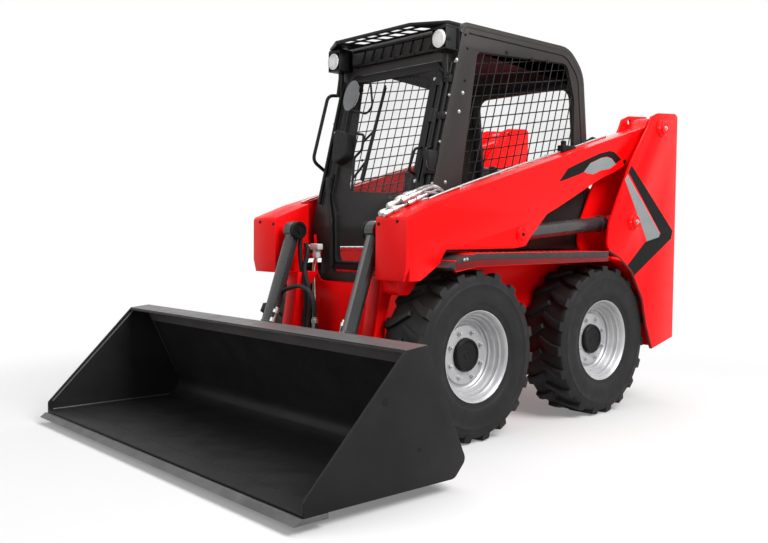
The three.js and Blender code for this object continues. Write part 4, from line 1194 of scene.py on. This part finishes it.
def buildHoses():
    bm = bmesh.new()
    for route in ("arch", "near"):
        addPipe(bm, [at(*point) for point in hoseSet[route]], hoseSet["hose"], 4, 8)
    keep(bm, "arm_hoses", "hose_rubber", "lift_arms", (), 60)
    bm = bmesh.new()
    for spot, direction in hoseSet["ends"]:
        addTurned(bm, hoseSet["fitting"], at(*spot), direction, 16)
    keep(bm, "arm_hose_fittings", "zinc", "lift_arms")
    bm = bmesh.new()
    for shift in (0, hoseSet["legPitch"]):
        addPipe(bm, legRoute(shift), hoseSet["legHose"], 4, 8)
    keep(bm, "leg_hoses", "hose_rubber", "lift_arms", (), 60)
    bm = bmesh.new()
    addBox(bm, at(-0.324, -0.748, 0.848), at(-0.262, -0.714, 0.878), 0.004)
    addBox(bm, at(-0.308, -0.746, 0.806), at(-0.278, -0.716, 0.850), 0.004)
    addBar(bm, at(-0.344, -0.744, 0.846), at(-0.343, -0.744, 0.872), 0.0140, 16)
    keep(bm, "white_plug", "plug_white", "chassis")
    for name, finish, route in hoseSet["cables"]:
        bm = bmesh.new()
        points = [at(max(x, hoseSet["cableEnd"]), hoseSet["panelY"], z) for x, z in route]
        points[0].y -= 0.010
        addPipe(bm, points, hoseSet["thin"], 3, 8)
        keep(bm, name, finish, "chassis", (), 60)


couplerSet = {
    "fitting": [(0.0, 0.0), (0.0, 0.0110), (0.012, 0.0140), (0.034, 0.0140), (0.036, 0.0110),
                (0.050, 0.0110),
                (0.052, 0.0155), (0.076, 0.0155), (0.078, 0.0125), (0.092, 0.0125), (0.094, 0.0100),
                (0.120, 0.0100),
                (0.120, 0.0)],
    "places": [(0.392, 0.012, 0.004), (0.428, 0.012, -0.006), (0.410, 0.034, 0.034),
               (0.388, 0.036, 0.105),
               (0.434, 0.036, 0.092), (0.398, 0.012, 0.136), (0.432, 0.012, 0.128)],
    "middle": 0.414, "front": -0.925, "foot": 1.003, "grade": 0.38, "length": 0.118, "hose": 0.0085,
    "slope": Vector((0, 0.930, 0.352)).normalized(),
}
armLineSet = {
    "x": 0.466, "radius": 0.0055,
    "route": [(-0.700, 1.087), (-0.634, 1.109), (-0.223, 1.230), (0.017, 1.296), (0.258, 1.361),
              (0.640, 1.467)],
    "clamps": [(-0.500, 1.146), (-0.223, 1.228), (-0.090, 1.266), (0.017, 1.294), (0.130, 1.326),
               (0.258, 1.361),
               (0.450, 1.414)],
}


def buildCouplers():                  # quick couplers and their hoses on top of the near arm
    silver, rubber = bmesh.new(), bmesh.new()
    slope = couplerSet["slope"]
    for x, lift, shift in couplerSet["places"]:
        start = at(x, couplerSet["front"] + shift,
                   couplerSet["foot"] + shift * couplerSet["grade"] + lift)
        addTurned(silver, couplerSet["fitting"], start, slope, 18)
        last = start + slope * couplerSet["length"]
        spread = (x - couplerSet["middle"]) * 0.1
        over = Vector((0.4320 + spread, last.y + 0.085, last.z + 0.024))
        tail = at(0.4325 + spread, -0.560, 1.090 + lift * 0.4)
        addPipe(rubber, [last, last + slope * 0.045, over, tail], couplerSet["hose"], 3, 6)
    keep(silver, "coupler_fittings", "zinc", "lift_arms")
    keep(rubber, "coupler_hoses", "hose_silver", "lift_arms", (), 60)
    bm, clamps = bmesh.new(), bmesh.new()
    for side in sideNames:            # steel line along the arm's inner top edge, with its clamps
        x = side * armLineSet["x"]
        addPipe(bm, [at(x, y, z) for y, z in armLineSet["route"]], armLineSet["radius"], 3, 4)
        for y, z in armLineSet["clamps"]:
            addBox(clamps, at(x - 0.008, y - 0.009, z - 0.014), at(x + 0.008, y + 0.009, z + 0.007),
                   0.002)
    keep(bm, "arm_lines", "zinc", "lift_arms", (), 60)
    keep(clamps, "arm_line_clamps", "zinc", "lift_arms")


buildHoses()
buildCouplers()
print("stage: hoses")

# Bucket: top lip and beads in painted-highlight grey, cutting edge, weld lines, and bolt holes painted black as
# shade
bucketSet = {
    "half": 1.035, "topBarY": -1.3665, "topBarZ": 0.5300, "beadIn": 0.0155,
    "lip": [(-1.370, 0.5385), (-1.268, 0.5485), (-1.262, 0.5395), (-1.366, 0.5285)],
    "stiffener": [(-1.284, 0.528), (-1.274, 0.528), (-1.246, 0.470), (-1.256, 0.466)],
    "beads": [((-1.358, 0.526), (-1.780, 0.104), 0.0040), ((-1.268, 0.510), (-1.084, 0.128), 0.0045),
              ((-1.150, 0.0640), (-1.780, 0.0640), 0.0040)],
    "blade": [(-1.8375, 0.0305), (-1.7010, 0.0305), (-1.7010, 0.0488), (-1.8120, 0.0488)],
    "stitches": 46, "stitchPitch": 0.0442, "stitch": 0.024, "cornerStitches": 40, "cornerX": 1.0225,
    "sideHoles": [(-1.462, 0.372, 0.0145), (-1.300, 0.186, 0.0075)], "proud": 0.0004,
}


def buildBucket():
    half = bucketSet["half"]
    bm = bmesh.new()                  # stiffening lip along the top, with a round bar under it; their grey, lighter than the black bucket, is a painted highlight
    addSlab(bm, bucketSet["lip"], "x", -half + 0.001, half - 0.001, 0.0015)
    y, z = bucketSet["topBarY"], bucketSet["topBarZ"]
    addBar(bm, at(-half + 0.014, y, z), at(half - 0.014, y, z), 0.0055, 12)
    addSlab(bm, bucketSet["stiffener"], "x", -half + 0.013, half - 0.013, 0.001)
    for side in sideNames:            # beads along each side plate's raked edge, heel and foot, in the same painted-highlight grey
        x = side * (half - bucketSet["beadIn"])
        for start, end, radius in bucketSet["beads"]:
            addBar(bm, at(x, *start), at(x, *end), radius, 8)
    keep(bm, "bucket_lip", "lip_painted_highlight", "bucket")
    bm = bmesh.new()                  # cutting edge with its bevel
    addSlab(bm, bucketSet["blade"], "x", -half, half, 0.0008)
    keep(bm, "edge_blade", "edge_steel", "bucket", ["cutting_edge"])
    bm = bmesh.new()
    for count in range(bucketSet["stitches"]):
        x = -0.995 + count * bucketSet["stitchPitch"]
        addBar(bm, at(x, -1.700, 0.0612), at(x + bucketSet["stitch"], -1.700, 0.0612), 0.0020, 6)
    for count in range(bucketSet["cornerStitches"]):   # weld dashes up both inner corners
        share = count / bucketSet["cornerStitches"]
        for side in sideNames:
            x = side * bucketSet["cornerX"]
            y, z = -1.100 - 0.170 * share, 0.150 + 0.350 * share
            addBar(bm, at(x, y, z), at(x, y - 0.0022, z + 0.0046), 0.0026, 6)
    keep(bm, "bucket_welds", "black_paint", "bucket", (), 60)
    bm = bmesh.new()                  # bolt holes, painted as black rings and discs on the side plates: painted shade for the holes' dark insides
    proud = bucketSet["proud"]
    for side in sideNames:
        for y, z, radius in bucketSet["sideHoles"]:
            inner, place = radius * 0.72, at(side * half, y, z)
            ring = [(-0.001, inner), (-0.001, radius), (proud, radius), (proud, inner), (-0.001, inner)]
            addTurned(bm, ring, place, (side, 0, 0), 24)
            floor = radius * 0.74
            disc = [(0, 0), (0.00015, floor), (-0.0008, floor), (-0.0008, 0)]
            addTurned(bm, disc, place, (side, 0, 0), 24)
    keep(bm, "bucket_holes", "black_and_painted_shade", "bucket", (), 60)


buildBucket()
print("stage: bucket")

# Seat: cushions shaped by a cloth run
seatSet = {"voxel": 0.006, "pressure": 4.0, "cap": 0.024, "slack": 0.010, "stiffness": 25, "quality": 5,
           "ticks": 20}


def cushion(name):
    bm = bmesh.new()
    bm.from_mesh(nodes[name].data)
    bmesh.ops.remove_doubles(bm, verts=bm.verts, dist=2e-5)
    bmesh.ops.recalc_face_normals(bm, faces=bm.faces)
    middle = sum((vert.co for vert in bm.verts), Vector()) / len(bm.verts)
    for vert in bm.verts:             # starts a little smaller, because the pad swells
        for axis in range(3):
            vert.co[axis] += math.copysign(seatSet["slack"], middle[axis] - vert.co[axis])
    mesh = bpy.data.meshes.new(name + "_pad")
    bm.to_mesh(mesh)
    bm.free()
    pad = bpy.data.objects.new(name + "_pad", mesh)
    scene.collection.objects.link(pad)
    bpy.context.view_layer.objects.active = pad
    remesh = pad.modifiers.new("even", "REMESH")
    remesh.mode = "VOXEL"
    remesh.voxel_size = seatSet["voxel"] * 1
    bpy.context.view_layer.update()
    shaped = bpy.data.meshes.new_from_object(pad.evaluated_get(bpy.context.evaluated_depsgraph_get()))
    pad.modifiers.clear()
    pad.data = shaped
    rest = [vert.co.copy() for vert in shaped.vertices]
    cloth = pad.modifiers.new("fill", "CLOTH")
    cloth.settings.use_pressure = True
    cloth.settings.uniform_pressure_force = seatSet["pressure"]
    cloth.settings.effector_weights.gravity = 0
    cloth.settings.quality = seatSet["quality"]
    cloth.settings.tension_stiffness = seatSet["stiffness"]
    cloth.settings.compression_stiffness = seatSet["stiffness"]
    cloth.point_cache.frame_start = 1
    cloth.point_cache.frame_end = seatSet["ticks"]
    for tick in range(1, seatSet["ticks"] + 1):
        scene.frame_set(tick)
    bulged = bpy.data.meshes.new_from_object(pad.evaluated_get(bpy.context.evaluated_depsgraph_get()))
    pad.modifiers.clear()
    pad.data = bulged
    scene.frame_set(1)
    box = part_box(name)
    low, high = Vector(box[0]), Vector(box[1])
    for vert, start in zip(bulged.vertices, rest):
        move = vert.co - start
        if move.length > seatSet["cap"]:
            move *= seatSet["cap"] / move.length
        vert.co = start + move
        for axis in range(3):     # held inside the solid's own box
            vert.co[axis] = min(max(vert.co[axis], low[axis]), high[axis])
    for poly in pad.data.polygons:
        poly.use_smooth = True
    smooth = pad.modifiers.new("round", "SUBSURF")
    smooth.levels = smooth.render_levels = 1
    pad.data.materials.clear()
    pad.data.materials.append(finishes["seat_vinyl"])
    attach(pad, "chassis")
    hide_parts(name)


for name in ("seat_cushion", "seat_back"):
    cushion(name)
print("stage: seat")

# Seat belt, lever tops and headliner
cabinSet = {
    "belt": [(0.246, 0.300, 1.050), (0.200, 0.180, 1.020), (0.060, 0.120, 1.012), (-0.100, 0.130, 1.012),
             (-0.246, 0.300, 1.050)],
    "beltRadius": 0.0060, "buckleX": 0.246, "leverX": 0.305,
    "liner": [(-0.395, 1.822, 0.02), (0.360, 1.842, 0.04), (0.455, 1.764, 0.04), (0.450, 1.750, 0.03),
              (0.350, 1.822, 0.04), (-0.395, 1.802, 0.02)],
    "linerHalf": 0.380,
    "knob": [(0, 0), (0.0, 0.018), (0.016, 0.022), (0.028, 0.020), (0.034, 0.010), (0.034, 0)],
    "button": [(0, 0), (0, 0.0052), (0.004, 0.0045), (0.004, 0)], "buttons": 3, "buttonPitch": 0.010,
}


def buildCabin():
    bm = bmesh.new()
    for side in sideNames:
        x = side * cabinSet["buckleX"]
        addBox(bm, at(x - 0.012, 0.285, 0.980), at(x + 0.012, 0.330, 1.060), 0.006)
    addPipe(bm, [at(*point) for point in cabinSet["belt"]], cabinSet["beltRadius"], 3, 8)
    keep(bm, "seat_belt", "belt_red", "chassis", (), 60)
    bm = bmesh.new()
    addSlab(bm, cabinSet["liner"], "x", -cabinSet["linerHalf"], cabinSet["linerHalf"], 0.004)
    for side in sideNames:
        x, pitch = side * cabinSet["leverX"], cabinSet["buttonPitch"]
        addTurned(bm, cabinSet["knob"], at(x, -0.090, 1.236), (0, 0, 1), 20)
        for count in range(cabinSet["buttons"]):
            addTurned(bm, cabinSet["button"], at(x - pitch + count * pitch, -0.104, 1.262),
                      (0, -0.4, 0.9), 10)
        addBox(bm, at(x - 0.030, -0.020, 1.068), at(x + 0.030, 0.180, 1.082), 0.005)
    keep(bm, "cab_lining", "cab_plastic", "chassis")


buildCabin()
print("stage: cabin")

# Rear: door louvres and handle, tail lamps, hood vents and latch, bumper bolts and towing eye
rearSet = {
    "boltRoom": 0.013, "louvres": 9, "low": 0.470, "step": 0.052, "half": 0.230, "face": 1.108,
    "frameOut": 1.118,
    "frame": [((-0.262, 0.440), (-0.238, 0.962)), ((0.238, 0.440), (0.262, 0.962)),
              ((-0.262, 0.952), (0.262, 0.974)), ((-0.262, 0.430), (0.262, 0.452))],
    "handle": [(-0.292, 1.108, 0.660), (-0.292, 1.1188, 0.662), (-0.292, 1.1188, 0.738),
               (-0.292, 1.108, 0.740)],
    "doorBolts": [(-0.392, 1.040), (0.392, 1.040), (-0.392, 0.900), (0.392, 0.900), (-0.306, 0.380),
                  (0.306, 0.380)],
    "lampX": 0.520, "lampHalf": 0.040, "baseHalf": 0.050, "lampBack": 1.1045, "lampFront": 1.1180,
    "vents": 7, "ventStart": 0.700, "ventStep": 0.042, "ventInner": 0.120, "ventOuter": 0.340,
    "hoodFront": 0.628, "hoodTop": 1.188, "hoodFall": 0.139,
    "bumperFace": 1.1245, "bumperBolts": [(0.20, 0.295), (0.30, 0.295)],
    "towingEye": [(0.0, 0.030), (0.0, 0.044), (0.014, 0.044), (0.014, 0.030), (0.0, 0.030)],
}


def buildRearDoor():
    half, face = rearSet["half"], rearSet["face"]
    bm = bmesh.new()
    for count in range(rearSet["louvres"]):
        z = rearSet["low"] + count * rearSet["step"]
        louvre = [(1.1115, z), (1.1235, z + 0.004), (1.1235, z + 0.010), (1.1115, z + 0.034)]
        addSlab(bm, louvre, "x", -half, half, 0.0012)
    for (x0, z0), (x1, z1) in rearSet["frame"]:
        addBox(bm, at(x0, face, z0), at(x1, rearSet["frameOut"], z1), 0.003)
    addBox(bm, at(-0.308, face, 0.640), at(-0.276, 1.1132, 0.760), 0.002)
    addPipe(bm, bent([at(*point) for point in rearSet["handle"]], 0.004), 0.0050, 3, 0)
    keep(bm, "rear_louvres", "black_paint", "rear_door")
    bm = bmesh.new()
    for x, z in rearSet["doorBolts"]:
        addBolt(bm, at(x, 1.1118, z), (0, 1, 0), 0.009)
    keep(bm, "rear_door_bolts", "zinc", "rear_door")


def buildTailLamps(side):
    x, half = side * rearSet["lampX"], rearSet["lampHalf"]
    back, front = rearSet["lampBack"], rearSet["lampFront"]
    red, amber = bmesh.new(), bmesh.new()
    addBox(red, at(x - half, back, 0.930), at(x + half, front, 1.030), 0.008, 3)
    addBox(amber, at(x - half, back, 0.870), at(x + half, front, 0.924), 0.008, 3)
    keep(red, "tail_lamp_" + sideNames[side], "lamp_red", "chassis")
    keep(amber, "turn_lamp_" + sideNames[side], "lamp_amber", "chassis")
    bm = bmesh.new()
    half = rearSet["baseHalf"]
    addBox(bm, at(x - half, 1.1035, 0.860), at(x + half, 1.1085, 1.040), 0.004)
    keep(bm, "lamp_base_" + sideNames[side], "black_and_painted_shade", "chassis")


def buildHoodAndBumper():
    bm = bmesh.new()
    for side in sideNames:            # raised vent bars on the hood
        for count in range(rearSet["vents"]):
            y = rearSet["ventStart"] + count * rearSet["ventStep"]
            z = rearSet["hoodTop"] - (y - rearSet["hoodFront"]) * rearSet["hoodFall"]
            bar = [(y, z - 0.002), (y + 0.024, z - 0.0055), (y + 0.020, z + 0.0045),
                   (y + 0.004, z + 0.0065)]
            addSlab(bm, bar, "x", side * rearSet["ventInner"], side * rearSet["ventOuter"], 0.0012)
    addBox(bm, at(-0.030, 1.030, 1.126), at(0.030, 1.066, 1.136), 0.004)
    keep(bm, "hood_vents", "black_and_painted_shade", "hood")
    room = rearSet["boltRoom"]        # the bolt heads stay within the machine's length
    for vert in bpy.data.objects["rear_bumper_skin"].data.vertices:
        if vert.co.y > at(0, 1.118, 0).y:
            vert.co.y -= room
    bm = bmesh.new()
    for side in sideNames:
        for x, z in rearSet["bumperBolts"]:
            addBolt(bm, at(side * x, rearSet["bumperFace"] - room, z), (0, 1, 0), 0.015)
    addTurned(bm, rearSet["towingEye"], at(0, rearSet["bumperFace"] - 0.0005 - room, 0.300), (0, 1, 0),
              24)
    keep(bm, "bumper_bolts", "zinc", "chassis")


buildRearDoor()
for side in sideNames:
    buildTailLamps(side)
buildHoodAndBumper()
print("stage: rear")
